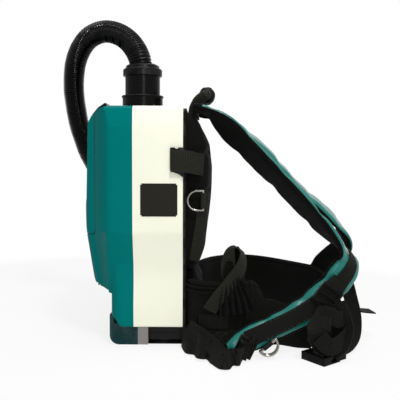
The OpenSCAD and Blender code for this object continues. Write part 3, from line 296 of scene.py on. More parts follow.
def materials(colours):
    """All finishes, each named for a slot of the record. Depths and pitches are given in millimetres."""
    for slot, colour, roughness, grain, depth, wear, gloss in (
        ("teal_plastic", colours.teal, 0.22, 700, 0.02, 0, 0.022),
        ("cream_plastic", colours.cream, 0.3, 700, 0.02, 0, 0.14),
        # The guard's colour holds painted shade from the shell's overhang.
        ("dark_teal_plastic", colours.guard, 0.42, 900, 0.05, 0.35, 0.12),
        # The band's colour holds painted shade from the shell's overhang; the bag holder takes the same
        # colour.
        ("grey_plastic", colours.band, 0.5, 900, 0.04, 0.2, 0.5),
        ("black_plastic", colours.black, 0.26, 900, 0.02, 0.2, 0.07),
        ("battery_plastic", srgb(22, 22, 24), 0.5, 900, 0.05, 0.2, 0.15),
        ("red_plastic", srgb(190, 30, 26), 0.35, 700, 0.02, 0, 0.5),
        ("key_grey", srgb(150, 150, 154), 0.4, 700, 0.02, 0, 0.5),
        ("plate_black", srgb(35, 33, 27), 0.42, 1400, 0.02, 0, 0.08),
        ("motor_plastic", srgb(62, 62, 64), 0.6, 700, 0.05, 0, 0.5),
        ("seal_rubber", srgb(10, 10, 10), 0.5, 500, 0.05, 0, 0.12),
        ("hose_plastic", srgb(2, 2, 2), 0.1, 600, 0.005, 0, 0.12),
        ("board", srgb(26, 92, 56), 0.45, 900, 0.04, 0, 0.5),
        ("thread", srgb(44, 42, 37), 0.7, 2000, 0.02, 0, 0.2),
    ):
        moulded(slot, tuple(colour), roughness, grain, depth * MM, wear, gloss)
    for slot, colour, pitch, roughness, depth, sheen, folds, gloss in (
        ("filter_paper", srgb(232, 231, 222), 1.2, 0.9, 0.05, 0.0, 0.3, 0.5),
        ("bag_paper", srgb(222, 216, 200), 1.6, 0.9, 0.08, 0.0, 0.5, 0.5),
        ("pad_cloth", colours.cloth, 1.3, 0.8, 0.12, 0.02, 0.25, 0.06),
        ("strap_teal", colours.strap, 0.9, 0.3, 0.03, 0.02, 0.0, 0.32),
    ):
        woven(slot, tuple(colour), pitch * MM, roughness, depth * MM, sheen, folds, gloss)
    for slot, colour, roughness in (
        ("motor_metal", srgb(190, 191, 194), 0.35), ("steel", colours.steel, 0.16),
        ("pin_steel", srgb(188, 188, 190), 0.3),
    ):
        bare_metal(slot, tuple(colour), roughness)
    ribbed("webbing", tuple(colours.webbing))
    ribbed("webbing_dark", tuple(c * BELT_SHADE for c in colours.webbing))


# ---- shapes -----------------------------------------------------------------

def new_piece(name, bm, slots, body="unit", replaces=(), sharp=40):
    """Makes a finished piece of a bmesh: normals, materials, body, and the CAD nodes that it stands for."""
    mesh = bpy.data.meshes.new(name)
    bm.to_mesh(mesh)
    bm.free()
    for slot in slots:
        mesh.materials.append(bpy.data.materials[slot + "_finish"])
    mesh.shade_smooth()
    mesh.set_sharp_from_angle(angle=math.radians(sharp))
    piece = bpy.data.objects.new(name, mesh)
    bpy.context.scene.collection.objects.link(piece)
    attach(piece, body)
    if replaces:
        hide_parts(*replaces)
    return piece


def curve_through(points, steps):
    """Points of a smooth curve through the given ones, with steps to each span."""
    last = len(points) - 1

    def at(i, u):
        a, b, c, d = (points[min(max(i + k, 0), last)] for k in (-1, 0, 1, 2))
        return 0.5 * (2 * b + (c - a) * u + (2 * a - 5 * b + 4 * c - d) * u ** 2
                      + (3 * b - a - 3 * c + d) * u ** 3)

    return [at(i, k / steps) for i in range(last) for k in range(steps)] + [points[last]]


def gone_to(points):
    """Distance along the line to each of its points."""
    gone = [0.0]
    for a, b in zip(points, points[1:]):
        gone.append(gone[-1] + (b - a).length)
    return gone


class Station:
    """A place on a line: its point, its side and outward vectors, and its distance from the start."""

    def __init__(self, point, side, out, distance, share=0):
        self.point, self.side, self.out = point, side, out
        self.distance, self.share = distance, share

    def at(self, across, out):
        return self.point + self.side * across + self.out * out

    def moved(self, across, out):
        return Station(self.at(across, out), self.side, self.out, self.distance, self.share)


def station_on(line, i, side, distance, total):
    """Station at a point of a line, with the given side turned square to the line."""
    heading = (line[min(i + 1, len(line) - 1)] - line[max(i - 1, 0)]).normalized()
    side = (side - side.dot(heading) * heading).normalized()
    return Station(line[i], side, heading.cross(side), distance, distance / total)


def stations(points, sides, steps):
    """Stations along a smooth line whose width direction is given at each point."""
    line, turned = curve_through(points, steps), curve_through(sides, steps)
    gone = gone_to(line)
    return [station_on(line, i, turned[i], gone[i], gone[-1]) for i in range(len(line))]


def even_stations(points, first_side, pitch):
    """Stations a pitch apart along a line of close points, with the side carried on without twist."""
    gone = gone_to(points)
    count = max(2, round(gone[-1] / pitch))
    line, k = [], 0
    for i in range(count + 1):
        d = gone[-1] * i / count
        while k < len(points) - 2 and gone[k + 1] < d:
            k += 1
        line.append(points[k].lerp(points[k + 1], (d - gone[k]) / max(gone[k + 1] - gone[k], 1e-9)))
    found, side = [], Vector(first_side)
    for i in range(count + 1):
        found.append(station_on(line, i, side, gone[-1] * i / count, gone[-1]))
        side = found[-1].side
    return found


def sweep(line, section, flat=True, inside=None):
    """Skin through a section at each station, extruded ring by ring and closed at both ends. A flat piece's
    map runs across and along it, a round one's runs round and along it. inside(k) picks the second material
    for the sides of the section that it is true of."""
    bm = bmesh.new()
    outline = section(line[0])
    count = len(outline)
    tag = {}  # place in the section, place across it and distance of each vertex

    def put(vert, k, station, points):
        vert.co = station.at(*points[k])
        tag[vert] = (k, points[k][0], station.distance)

    ring = bmesh.ops.create_circle(bm, segments=count, radius=MM)["verts"]
    edges = list(bm.edges)
    for k, vert in enumerate(ring):
        put(vert, k, line[0], outline)
    for station in line[1:]:
        made = bmesh.ops.extrude_edge_only(bm, edges=edges)["geom"]
        points = section(station)
        edges = [g for g in made
                 if isinstance(g, bmesh.types.BMEdge) and all(v not in tag for v in g.verts)]
        for vert in {v for e in edges for v in e.verts}:
            beside = (e.other_vert(vert) for e in vert.link_edges)
            old = next(v for v in beside if v in tag and tag[v][2] < station.distance)
            put(vert, tag[old][0], station, points)
    bmesh.ops.holes_fill(bm, edges=[e for e in bm.edges if e.is_boundary], sides=0)
    bmesh.ops.recalc_face_normals(bm, faces=bm.faces)
    chart = bm.loops.layers.uv.new("UVMap")
    rounds = sum((Vector(outline[k]) - Vector(outline[k - 1])).length for k in range(count))
    for face in bm.faces:
        ks = [tag[v][0] for v in face.verts]
        wraps = max(ks) - min(ks) > count / 2
        if inside and len(ks) == 4:
            face.material_index = int(inside(min(k for k in ks if not (wraps and k < count / 2))))
        for loop in face.loops:
            k, across, along = tag[loop.vert]
            turned = (k + count if wraps and k < count / 2 else k) / count * rounds
            loop[chart].uv = (across if flat else turned, along)
    return bm


def band_section(width, thick):
    """Section of a flat band with eased edges."""
    w, t, e = width / 2, thick / 2, thick * 0.3
    return [(w, -t + e), (w, t - e), (w - e, t), (w * 0.5, t), (-w * 0.5, t), (-w + e, t),
            (-w, t - e), (-w, -t + e), (-w + e, -t), (-w * 0.5, -t), (w * 0.5, -t), (w - e, -t)]


def round_section(radius, sides, squash=1.0):
    angles = [math.tau * k / sides for k in range(sides)]
    return [(radius * math.cos(angle), squash * radius * math.sin(angle)) for angle in angles]


def vectors(rows, offset=(0, 0, 0), scale=1.0):
    return [Vector(row) * scale + Vector(offset) for row in rows]


def on_harness(rows):
    """Points of the harness, given in millimetres from the back plate's outer face."""
    return vectors(rows, (PLATE_X, 0, 0), MM)


def lookup(value, table):
    """Straight-line value from a table of (place, value)."""
    for (a, x), (b, y) in zip(table, table[1:]):
        if value <= b:
            return x + (y - x) * max(0.0, (value - a) / (b - a))
    return table[-1][1]


def ripple(bm, height, scale, seed=0.0):
    """Moves a skin in and out along its normals by soft noise."""
    bm.normal_update()
    shift = Vector((seed, seed, seed))
    moves = [(v, v.normal * height * noise.noise(v.co * scale + shift)) for v in bm.verts]
    for vert, move in moves:
        vert.co += move


def tube(name, line, radius, slot, sides):
    new_piece(name, sweep(line, lambda station: round_section(radius, sides), flat=False), [slot])


# ---- shells and other moulded pieces ------------------------------------------

FACETS = (7, 62, 3.4)  # least and most turn in degrees, and least width of the faces in roundings
EDGES = (50, 130, 2.4)
SHORTEST_EDGE = 0.3 * MM  # a shorter one isn't rounded
ROUNDING_STEPS = 3
LATCH_CROWN = (364 * MM, 12 * MM, 3.2 * MM)  # from this height up, over this span, by this much


def solid_copy(node):
    """Merged copy of a CAD node's mesh, with its flat faces joined."""
    bm = bmesh.new()
    bm.from_mesh(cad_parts[node].data)
    close = 0.002 * MM
    bmesh.ops.remove_doubles(bm, verts=bm.verts, dist=close)
    bmesh.ops.dissolve_degenerate(bm, dist=close, edges=bm.edges)
    bmesh.ops.dissolve_limit(bm, angle_limit=math.radians(0.6), verts=bm.verts, edges=bm.edges)
    return bm


def outer_edges(bm, least, most, room):
    """Outer edges whose faces turn by between two angles and are wide enough to be rounded."""
    tree = BVHTree.FromBMesh(bm)
    found = []
    for edge in bm.edges:
        if len(edge.link_faces) != 2 or edge.calc_length() < SHORTEST_EDGE:
            continue
        turn = edge.calc_face_angle_signed(0)
        if not math.radians(least) < turn < math.radians(most):
            continue
        if min(f.calc_area() for f in edge.link_faces) / edge.calc_length() < room:
            continue
        out = (edge.link_faces[0].normal + edge.link_faces[1].normal).normalized()
        middle = (edge.verts[0].co + edge.verts[1].co) / 2
        if tree.ray_cast(middle + out * 0.05 * MM, out)[0] is None:
            found.append(edge)
    return found


def round_off(bm, kind, width, segments):
    """Rounds the outer edges of a kind, FACETS or EDGES."""
    least, most, room = kind
    edges = outer_edges(bm, least, most, width * room)
    if edges:
        bmesh.ops.bevel(bm, geom=edges, offset=width, offset_type="OFFSET", segments=segments, profile=0.5,
                        affect="EDGES", clamp_overlap=True, material=-1)


def moulding(node, slot, body="unit", facets=0.0, edges=0.0, segments=2, sharp=32, name=None, crown=None):
    """Copy of a CAD node with soft facets and rounded edges, in its place. A crown raises its top."""
    bm = solid_copy(node)
    if crown:
        low, span, rise = crown
        for vert in bm.verts:
            vert.co.z += rise * min(1, max(0, (vert.co.z - low) / span))
    if facets:
        round_off(bm, FACETS, facets, ROUNDING_STEPS)
    if edges:
        round_off(bm, EDGES, edges, segments)
    piece = new_piece(name or node + "_skin", bm, [slot], body, [node], sharp)
    piece.modifiers.new("Weighted normals", "WEIGHTED_NORMAL").keep_sharp = True
    return piece


# ---- stage ---------------------------------------------------------------------

CAMERA_AT = Vector((0.102, -1.0, 0.3))
CAMERA_PITCH = 4.3  # degrees down
CAMERA_ROLL = 0.3
PICTURE_SIDE = 400
FOCAL_PIXELS = 590
SENSOR = 36.0
AMBIENT = 0.17  # level of the light from all round
FLOOR_HALF = 6
FLOOR_WHITE = 0.93
FLOOR_GLOW = 0.85  # share of plain white in the floor near the object
FLOOR_FADE = (0.3, 0.85)  # distances from the origin between which the floor turns plain white
LAMP_AIM = Vector((0.1, 0.0, 0.2))
LAMPS = (  # place, width, height and power
    ("key", (0.7, -1.45, 2.3), 0.5, 0.5, 34), ("top", (0.2, -0.1, 2.4), 1.4, 1.4, 19),
    ("tall", (0.46, -2.1, 0.75), 0.22, 1.3, 10),
)


def area_lamp(name, at, width, height, power):
    lamp = bpy.data.lights.new(name, "AREA")
    lamp.shape, lamp.size, lamp.size_y, lamp.energy = "ELLIPSE", width, height, power
    thing = bpy.data.objects.new(name, lamp)
    thing.location = at
    thing.rotation_euler = (LAMP_AIM - Vector(at)).to_track_quat("-Z", "Y").to_euler()
    bpy.context.scene.collection.objects.link(thing)


def floor_paper():
    """White paper that keeps the shadow under the object and runs out into plain white."""
    paint = Paint("floor_paper", (FLOOR_WHITE,) * 3, 0.9, Specular_IOR_Level=0.0)
    glow = paint.add("ShaderNodeEmission", {}, {"Strength": 1.0})
    far = paint.add("ShaderNodeVectorMath", {"operation": "LENGTH"}, {0: paint.place()}, "Value")
    share = paint.seen_rays() * far.step(*FLOOR_FADE).bigger(FLOOR_GLOW)
    output = next(n for n in paint.tree.nodes if n.type == "OUTPUT_MATERIAL")
    matt = Value(paint, paint.shader.outputs[0])
    mixed = paint.add("ShaderNodeMixShader", {}, {0: share, 1: matt, 2: glow})
    paint.put(output.inputs["Surface"], mixed)
    return paint.material


def studio_world():
    world = bpy.data.worlds.new("studio")
    world.use_nodes = True
    nodes = Nodes(world.node_tree)
    sky = world.node_tree.nodes["Background"]
    sky.inputs["Color"].default_value = (1, 1, 1, 1)
    nodes.put(sky.inputs["Strength"], nodes.seen_rays() * (1 - AMBIENT) + AMBIENT)
    return world


class VACUUM_OT_stage(bpy.types.Operator):
    """Camera, lamps and a plain pale floor"""
    bl_idname = "vacuum.stage"
    bl_label = "Stage"

    def execute(self, context):
        lens = bpy.data.cameras.new("camera")
        lens.sensor_width = SENSOR
        lens.lens = FOCAL_PIXELS / PICTURE_SIDE * SENSOR
        lens.clip_start, lens.clip_end = 0.01, 50
        camera = bpy.data.objects.new("camera", lens)
        camera.matrix_world = (Matrix.Translation(CAMERA_AT)
                               @ Matrix.Rotation(math.radians(90 - CAMERA_PITCH), 4, "X")
                               @ Matrix.Rotation(math.radians(CAMERA_ROLL), 4, "Z"))
        context.scene.collection.objects.link(camera)
        context.scene.camera = camera

        bm = bmesh.new()
        bmesh.ops.create_grid(bm, x_segments=1, y_segments=1, size=FLOOR_HALF)
        mesh = bpy.data.meshes.new("floor")
        bm.to_mesh(mesh)
        bm.free()
        floor = bpy.data.objects.new("floor", mesh)
        context.scene.collection.objects.link(floor)
        mesh.materials.append(floor_paper())

        context.scene.world = studio_world()
        for lamp in LAMPS:
            area_lamp(*lamp)
        context.scene.view_settings.view_transform = "Standard"
        return {"FINISHED"}


# ---- hose ------------------------------------------------------------------------

HOSE_START = Vector((0.005, 0, 0.419))
HOSE_ROUTE = [
    (0.001, 0, 0.003), (-0.0015, 0.0005, 0.0205), (-0.004, 0.001, 0.038), (-0.008, 0.004, 0.049),
    (-0.014, 0.009, 0.06), (-0.026, 0.019, 0.075), (-0.044, 0.031, 0.088), (-0.065, 0.043, 0.095),
    (-0.084, 0.053, 0.094), (-0.103, 0.064, 0.086), (-0.119, 0.075, 0.069), (-0.13, 0.086, 0.047),
    (-0.135, 0.095, 0.024), (-0.137, 0.102, 0.002), (-0.136, 0.109, -0.023), (-0.132, 0.118, -0.058),
    (-0.126, 0.124, -0.082), (-0.117, 0.132, -0.112), (-0.105, 0.14, -0.138), (-0.089, 0.148, -0.172),
    (-0.066, 0.158, -0.214), (-0.038, 0.17, -0.26), (-0.006, 0.184, -0.305), (0.03, 0.201, -0.344),
    (0.068, 0.218, -0.374), (0.106, 0.232, -0.392), (0.146, 0.24, -0.398), (0.2, 0.24, -0.398),
    (0.236, 0.24, -0.398),
]
HOSE_SIDES = 28
HOSE_PLAIN = 4 * MM  # length without ribs at each end
RIB_DEPTH = 2.1 * MM
RIB_FORM = (  # place along a rib and depth there, as shares
    (0.0, 1.0), (0.16, 0.9), (0.32, 0.25), (0.5, 0.0), (0.68, 0.12), (0.84, 0.5),
)


class VACUUM_OT_hose(bpy.types.Operator):
    """Ribbed suction hose with its end cuff"""
    bl_idname = "vacuum.hose"
    bl_label = "Hose"

    def execute(self, context):
        path = curve_through(vectors(HOSE_ROUTE, HOSE_START), 5)
        ribs = context.scene.vacuum_sizes.hose_ribs
        length = gone_to(path)[-1]
        fine = even_stations(path, (0, 1, 0), length / (ribs * 2 * len(RIB_FORM)))
        rib = (length - 2 * HOSE_PLAIN) / ribs
        wanted = [0.0, HOSE_PLAIN * 0.8]
        wanted += [HOSE_PLAIN + rib * (i + place) for i in range(ribs) for place, _ in RIB_FORM]
        wanted += [length - HOSE_PLAIN, length - HOSE_PLAIN / 2]
        line, depth = [], {}
        for k, distance in enumerate(wanted):
            spot = fine[min(round(distance / length * (len(fine) - 1)), len(fine) - 1)]
            if line and spot is line[-1]:
                continue
            line.append(spot)
            inner = 1 < k < len(wanted) - 2
            depth[spot.distance] = RIB_FORM[(k - 2) % len(RIB_FORM)][1] if inner else 1.0

        def section(s):
            return round_section(HOSE_D / 2 - RIB_DEPTH * depth[s.distance], HOSE_SIDES)

        bm = sweep(line, section, flat=False)
        hose = new_piece("suction_hose", bm, ["hose_plastic"], "unit", ["hose"], 75)
        cuff = moulding("hose_end_cuff", "black_plastic", edges=0.5 * MM, name="end_cuff")
        return {"FINISHED"}


# ---- unit --------------------------------------------------------------------------

class VACUUM_OT_shells(bpy.types.Operator):
    """Front and rear shells, dust cover and guard"""
    bl_idname = "vacuum.shells"
    bl_label = "Shells"

    def execute(self, context):
        sizes = context.scene.vacuum_sizes
        moulding("front_shell", "teal_plastic", facets=sizes.shell_round, edges=sizes.edge_round)
        moulding("dust_cover", "teal_plastic", "cover", facets=sizes.shell_round, edges=1.1 * MM)
        moulding("rear_shell", "cream_plastic", facets=sizes.shell_round, edges=sizes.edge_round)
        moulding("bottom_guard", "dark_teal_plastic", edges=2.2 * MM, segments=ROUNDING_STEPS)
        moulding("guard_band", "grey_plastic", edges=0.5 * MM)
        moulding("back_plate", "black_plastic", edges=1.4 * MM, segments=ROUNDING_STEPS)
        moulding("rating_plate", "plate_black", edges=0.2 * MM)
        return {"FINISHED"}


class VACUUM_OT_fittings(bpy.types.Operator):
    """Inlet, hose cuff, latch, clips and screws"""
    bl_idname = "vacuum.fittings"
    bl_label = "Fittings"

    def execute(self, context):
        moulding("inlet_collar", "black_plastic", edges=0.4 * MM)
        moulding("hose_cuff", "black_plastic", "cuff", edges=0.4 * MM)
        moulding("cover_latch", "black_plastic", "latch", edges=0.6 * MM, crown=LATCH_CROWN)
        moulding("wrap_clips", "black_plastic", edges=0.8 * MM)
        for node, body in (("latch_pin", "cover"), ("cover_hinge_pin", "unit"), ("shell_screws", "unit")):
            moulding(node, "pin_steel", body)
        return {"FINISHED"}


class VACUUM_OT_inside(bpy.types.Operator):
    """Motor, fan, filter, bag and board"""
    bl_idname = "vacuum.inside"
    bl_label = "Inside"

    def execute(self, context):
        for node, slot, body in (
            ("chamber_floor", "black_plastic", "unit"), ("cover_seal", "seal_rubber", "unit"),
            ("bag_holder", "grey_plastic", "unit"), ("hepa_filter", "filter_paper", "unit"),
            ("motor_housing", "motor_plastic", "unit"), ("motor_mount_rings", "seal_rubber", "unit"),
            ("motor_body", "motor_metal", "unit"), ("fan_rotor", "motor_metal", "fan"),
            ("control_board", "board", "unit"),
        ):
            moulding(node, slot, body)
        bag = solid_copy("dust_bag")
        bmesh.ops.triangulate(bag, faces=bag.faces)
        bmesh.ops.subdivide_edges(bag, edges=bag.edges, cuts=3, use_grid_fill=True, smooth=0.4)
        ripple(bag, 2.4 * MM, 38)
        piece = new_piece("bag", bag, ["bag_paper"], "unit", ["dust_bag"], 80)
        return {"FINISHED"}


class VACUUM_OT_batteries(bpy.types.Operator):
    """Battery packs, their release buttons and rails"""
    bl_idname = "vacuum.batteries"
    bl_label = "Batteries"

    def execute(self, context):
        moulding("battery_rails", "black_plastic")
        for side in ("left", "right"):
            moulding(f"battery_{side}", "battery_plastic", f"pack_{side}", edges=0.8 * MM)
            moulding(f"battery_button_{side}", "red_plastic", f"release_{side}", edges=0.4 * MM)
        return {"FINISHED"}


# ---- harness --------------------------------------------------------------------------

THREAD_R = 0.45 * MM
STITCH_GAP = 0.55  # in stitches


def stitches(name, spots):
    """Thread laid in short runs: each spot is a start, an end and an outward direction."""
    bm = bmesh.new()
    for start, end, out in spots:
        heading = (end - start).normalized()
        side = heading.cross(out).normalized()
        turn = Matrix((side, side.cross(heading) * -1, heading)).transposed().to_4x4()
        bmesh.ops.create_cone(
            bm, cap_ends=True, segments=5, radius1=THREAD_R, radius2=THREAD_R, depth=(end - start).length,
            matrix=Matrix.Translation((start + end) / 2) @ turn)
    new_piece(name, bm, ["thread"])


def seam_spots(line, across, out, stitch, first, last=1.0):
    """Stitches along a line of stations at an offset across and out, given as functions of the station."""
    points = [(s.at(across(s), out(s)), s.out) for s in line if first <= s.share <= last]
    spots, gap, d = [], stitch * STITCH_GAP, 0.0
    for (a, normal), (b, _) in zip(points, points[1:]):
        span = (b - a).length
        while d + stitch <= span + 1e-6:
            spots.append((a.lerp(b, d / span), a.lerp(b, (d + stitch) / span), normal))
            d += stitch + gap
        d = max(0.0, d - span)
    return spots


def cross_box(station, across, out, size, stitch):
    """Stitches in a square with a cross in it, laid over a station."""
    ahead = station.side.cross(station.out)
    middle = station.at(across, out)
    corners = [middle + ahead * (a * size / 2) + station.side * (b * size / 2)
               for a, b in ((-1, -1), (1, -1), (1, 1), (-1, 1))]
    spots = []
    for first, last in ((0, 1), (1, 2), (2, 3), (3, 0), (0, 2), (1, 3)):
        a, b = corners[first], corners[last]
        count = max(1, round((b - a).length / (stitch * (1 + STITCH_GAP))))
        spots += [(a.lerp(b, (i + 0.1) / count), a.lerp(b, (i + 0.75) / count), station.out)
                  for i in range(count)]
    return spots


def pad_section(width, thick, sides=32, edge=0.35, crown=0.6):
    """Section of a padded band: full edges and crowned faces, rounder with larger powers."""
    def bent(half, share, power):
        return half * math.copysign(abs(share) ** power, share)

    angles = [math.tau * (k + 0.5) / sides for k in range(sides)]
    return [(bent(width / 2, math.cos(a), edge), bent(thick / 2, math.sin(a), crown)) for a in angles]


class Strap:
    """Route of a shoulder strap, the directions of its width, its widths, how narrow and round it is from 0
    to 1, the distances of its seams, and the first and last route point of its webbing."""

    def __init__(self, route, sides, widths, narrow, pinches, belted):
        self.route, self.sides, self.widths, self.narrow = route, sides, widths, narrow
        self.pinches, self.belted = pinches, belted


STRAP_STEPS = 12
STRAP_CORNERS = 40  # of a section
PINCH_REACH = 9 * MM
STRAPS = {
    "near": Strap(
        [(10, -63, 377), (38, -63, 366), (68, -66, 339), (107, -75, 300), (145, -84, 261), (179, -92, 225),
         (211, -98, 190), (238, -103, 161), (247, -109, 137), (232, -117, 113), (205, -124, 87),
         (166, -131, 61), (122, -138, 41), (90, -144, 28), (63, -148, 18)],
        [(0, -1, 0), (0.1, -0.98, 0.1), (0.28, -0.9, 0.3), (0.25, -0.92, 0.25), (0.22, -0.94, 0.22),
         (0.2, -0.95, 0.2), (0.15, -0.97, 0.15), (-0.2, -0.96, 0.1), (-0.72, -0.6, 0.3),
         (-0.7, -0.25, 0.6), (-0.55, 0.05, 0.8), (-0.46, 0.2, 0.84), (-0.42, 0.25, 0.85),
         (-0.4, 0.25, 0.87), (-0.4, 0.2, 0.87)],
        [(0, 54), (0.08, 62), (0.35, 62), (0.56, 58), (0.66, 47), (0.75, 42), (0.83, 35), (0.93, 35),
         (0.97, 28), (1, 12)],
        [(0, 0), (0.56, 0), (0.68, 1), (1, 1)], (28, 102, 178, 258, 330, 391, 438, 506), (7.2, 13)),
    "far": Strap(
        [(10, 63, 376), (42, 63, 371), (84, 63, 352), (141, 66, 307), (191, 68, 251), (237, 70, 211),
         (270, 73, 179), (285, 77, 151), (277, 84, 120), (258, 94, 92), (240, 110, 62), (214, 136, 42),
         (184, 166, 34), (158, 190, 33)],
        [(-0.1, -0.98, -0.1), (-0.15, -0.97, -0.15), (-0.15, -0.97, -0.15), (-0.1, -0.98, -0.1),
         (-0.1, -0.98, -0.1), (-0.1, -0.98, -0.15), (-0.1, -0.96, -0.2), (0.2, -0.94, -0.2),
         (0.45, -0.8, -0.35), (0.6, -0.62, -0.5), (0.5, -0.42, -0.75), (0.2, -0.1, -0.97),
         (0.1, 0.05, -0.99), (0.1, 0.1, -0.99)],
        [(0, 52), (0.1, 58), (0.92, 58), (0.97, 50), (1, 35)],
        [(0, 0), (1, 0)], (30, 105, 180, 262, 335, 392, 450, 510), (9, 12)),
}


def pinched(distance, places):
    """How far a padded piece is drawn in by the nearest seam across it, from 0 to 1."""
    return max(math.exp(-((distance - place * MM) / PINCH_REACH) ** 2) for place in places)


def shoulder_strap(which, strap, sizes):
    """Padded strap: coated cloth outside, quilted black cloth inside, piping and webbing sewn on."""
    name = f"strap_{which}"
    line = stations(on_harness(strap.route), vectors(strap.sides), STRAP_STEPS)
    fuller = 2.5 * MM  # on the narrow run
    thinner, drawn_in = 0.34, 4.5  # at a seam: share of the thickness, and millimetres of the width
    root_end = 0.024

    def low(s):
        """0 on the arch, 1 on the narrow run along the floor."""
        return lookup(s.share, strap.narrow)

    def full(s):
        ends = lookup(s.share, [(0, 0.5), (0.03, 1), (0.985, 1), (1, 0.7)])
        return (STRAP_T + fuller * low(s)) * ends

    def thickness(s):
        return full(s) * (1 - thinner * pinched(s.distance, strap.pinches))

    def width(s):
        return (lookup(s.share, strap.widths) - drawn_in * pinched(s.distance, strap.pinches)) * MM

    def section(s):
        return pad_section(width(s), thickness(s), STRAP_CORNERS, 0.35 + 0.3 * low(s), 0.6 + 0.2 * low(s))

    bm = sweep(line, section, inside=lambda k: k < STRAP_CORNERS / 2)
    ripple(bm, 0.8 * MM, 55, 3.0)
    pad = new_piece(name, bm, ["strap_teal", "pad_cloth"], "unit", [f"shoulder_{name}"], 60)
    root = [s for s in line if s.share < root_end]
    bm = sweep(root, lambda s: pad_section(width(s) + 2 * MM, thickness(s) + 1.5 * MM, STRAP_CORNERS))
    new_piece(f"{name}_root", bm, ["pad_cloth"], sharp=60)
    for edge, sign in (("outer", 1), ("inner", -1)):
        rim = [s.moved(sign * (width(s) / 2 - 0.2 * MM), (0.5 + 2 * low(s)) * MM) for s in line[2:-1]]
        bm = sweep(rim, lambda s: round_section(sizes.piping * (1 + low(s)), 8), flat=False)
        new_piece(f"{name}_piping_{edge}", bm, ["pad_cloth"])
    first, last = strap.belted
    part = [s for i, s in enumerate(line) if first * STRAP_STEPS <= i <= last * STRAP_STEPS]
    belt_line = [s.moved(0, -full(s) / 2 - WEBBING_T / 2) for s in part]
    start = belt_line[0].distance
    widening = [(0, 7 * MM), (0.02, WEBBING_W)]
    bm = sweep(belt_line, lambda s: band_section(lookup(s.distance - start, widening), WEBBING_T))
    new_piece(f"{name}_belt", bm, ["webbing_dark"], "unit", [f"strap_webbing_{which}"])
    spots = []
    for sign in (-1, 1):
        spots += seam_spots(belt_line, lambda s: sign * (WEBBING_W / 2 - 2.2 * MM),
                            lambda s: -WEBBING_T / 2, sizes.stitch, 0.7)
        spots += seam_spots(line, lambda s: sign * (width(s) / 2 - 4.5 * MM),
                            lambda s: -thickness(s) / 2 * 0.8, sizes.stitch, 0.06, 0.6)
    stitches(f"{name}_stitches", spots)


class VACUUM_OT_straps(bpy.types.Operator):
    """Shoulder straps with their webbing"""
    bl_idname = "vacuum.straps"
    bl_label = "Shoulder straps"

    def execute(self, context):
        for which, strap in STRAPS.items():
            shoulder_strap(which, strap, context.scene.vacuum_sizes)
        return {"FINISHED"}


NEAR_WING = [
    (7.2, -76), (7.7, -92), (19, -110), (36, -118), (56, -120), (80, -117), (101, -108), (114, -96),
]
FAR_WING = [
    (7.2, 76), (7.9, 92), (23, 121), (46, 158), (84, 184), (118, 182), (146, 165), (172, 139), (206, 98),
    (234, 62), (250, 36),
]
WING_T = 13 * MM
WING_LIFT = 3  # millimetres over the floor


def hip_wing(name, node, route, height, gathers, sizes):
    """Padded wing on its edge, with sewn channels along it, piping at its edges, and gathers over a part of
    its length."""
    points = on_harness([(x, y, height / MM / 2 + WING_LIFT) for x, y in route])
    line = stations(points, vectors([(0, 0, 1)] * len(route)), 10)
    shape = [(0, height - 10 * MM), (0.15, height), (0.88, height), (0.95, height * 0.88),
             (1, height * 0.66)]
    seams, reach = (0.2, 0.43), 0.018  # in widths, from the middle line
    pitch, swing = 9 * MM, 1.5 * MM  # of a gather
    first, last = gathers
    gathered = [(0, 0), (first, 0), (first + 0.05, 1), (last, 1), (last + 0.05, 0), (1, 0)]

    def section(s):
        w = lookup(s.share, shape)
        wave = swing * math.sin(math.tau * s.distance / pitch) * lookup(s.share, gathered)
        channels = []
        for across, out in pad_section(w, WING_T, 56):
            near = min(abs(abs(across) / w - seam) for seam in seams)
            groove = 1 - 0.3 * math.exp(-(near / reach) ** 2)
            channels.append((across, out * groove + wave * (0.5 + across / w)))
        return channels

    bm = sweep(line, section)
    ripple(bm, 1.5 * MM, 30, 7.0)
    wing = new_piece(name, bm, ["pad_cloth"], "unit", [node], 60)
    for edge, sign in (("top", 1), ("foot", -1)):
        rim = [s.moved(sign * (lookup(s.share, shape) / 2 - 0.3 * MM), 0) for s in line]
        tube(f"{name}_piping_{edge}", rim, sizes.piping, "pad_cloth", 8)
    return line


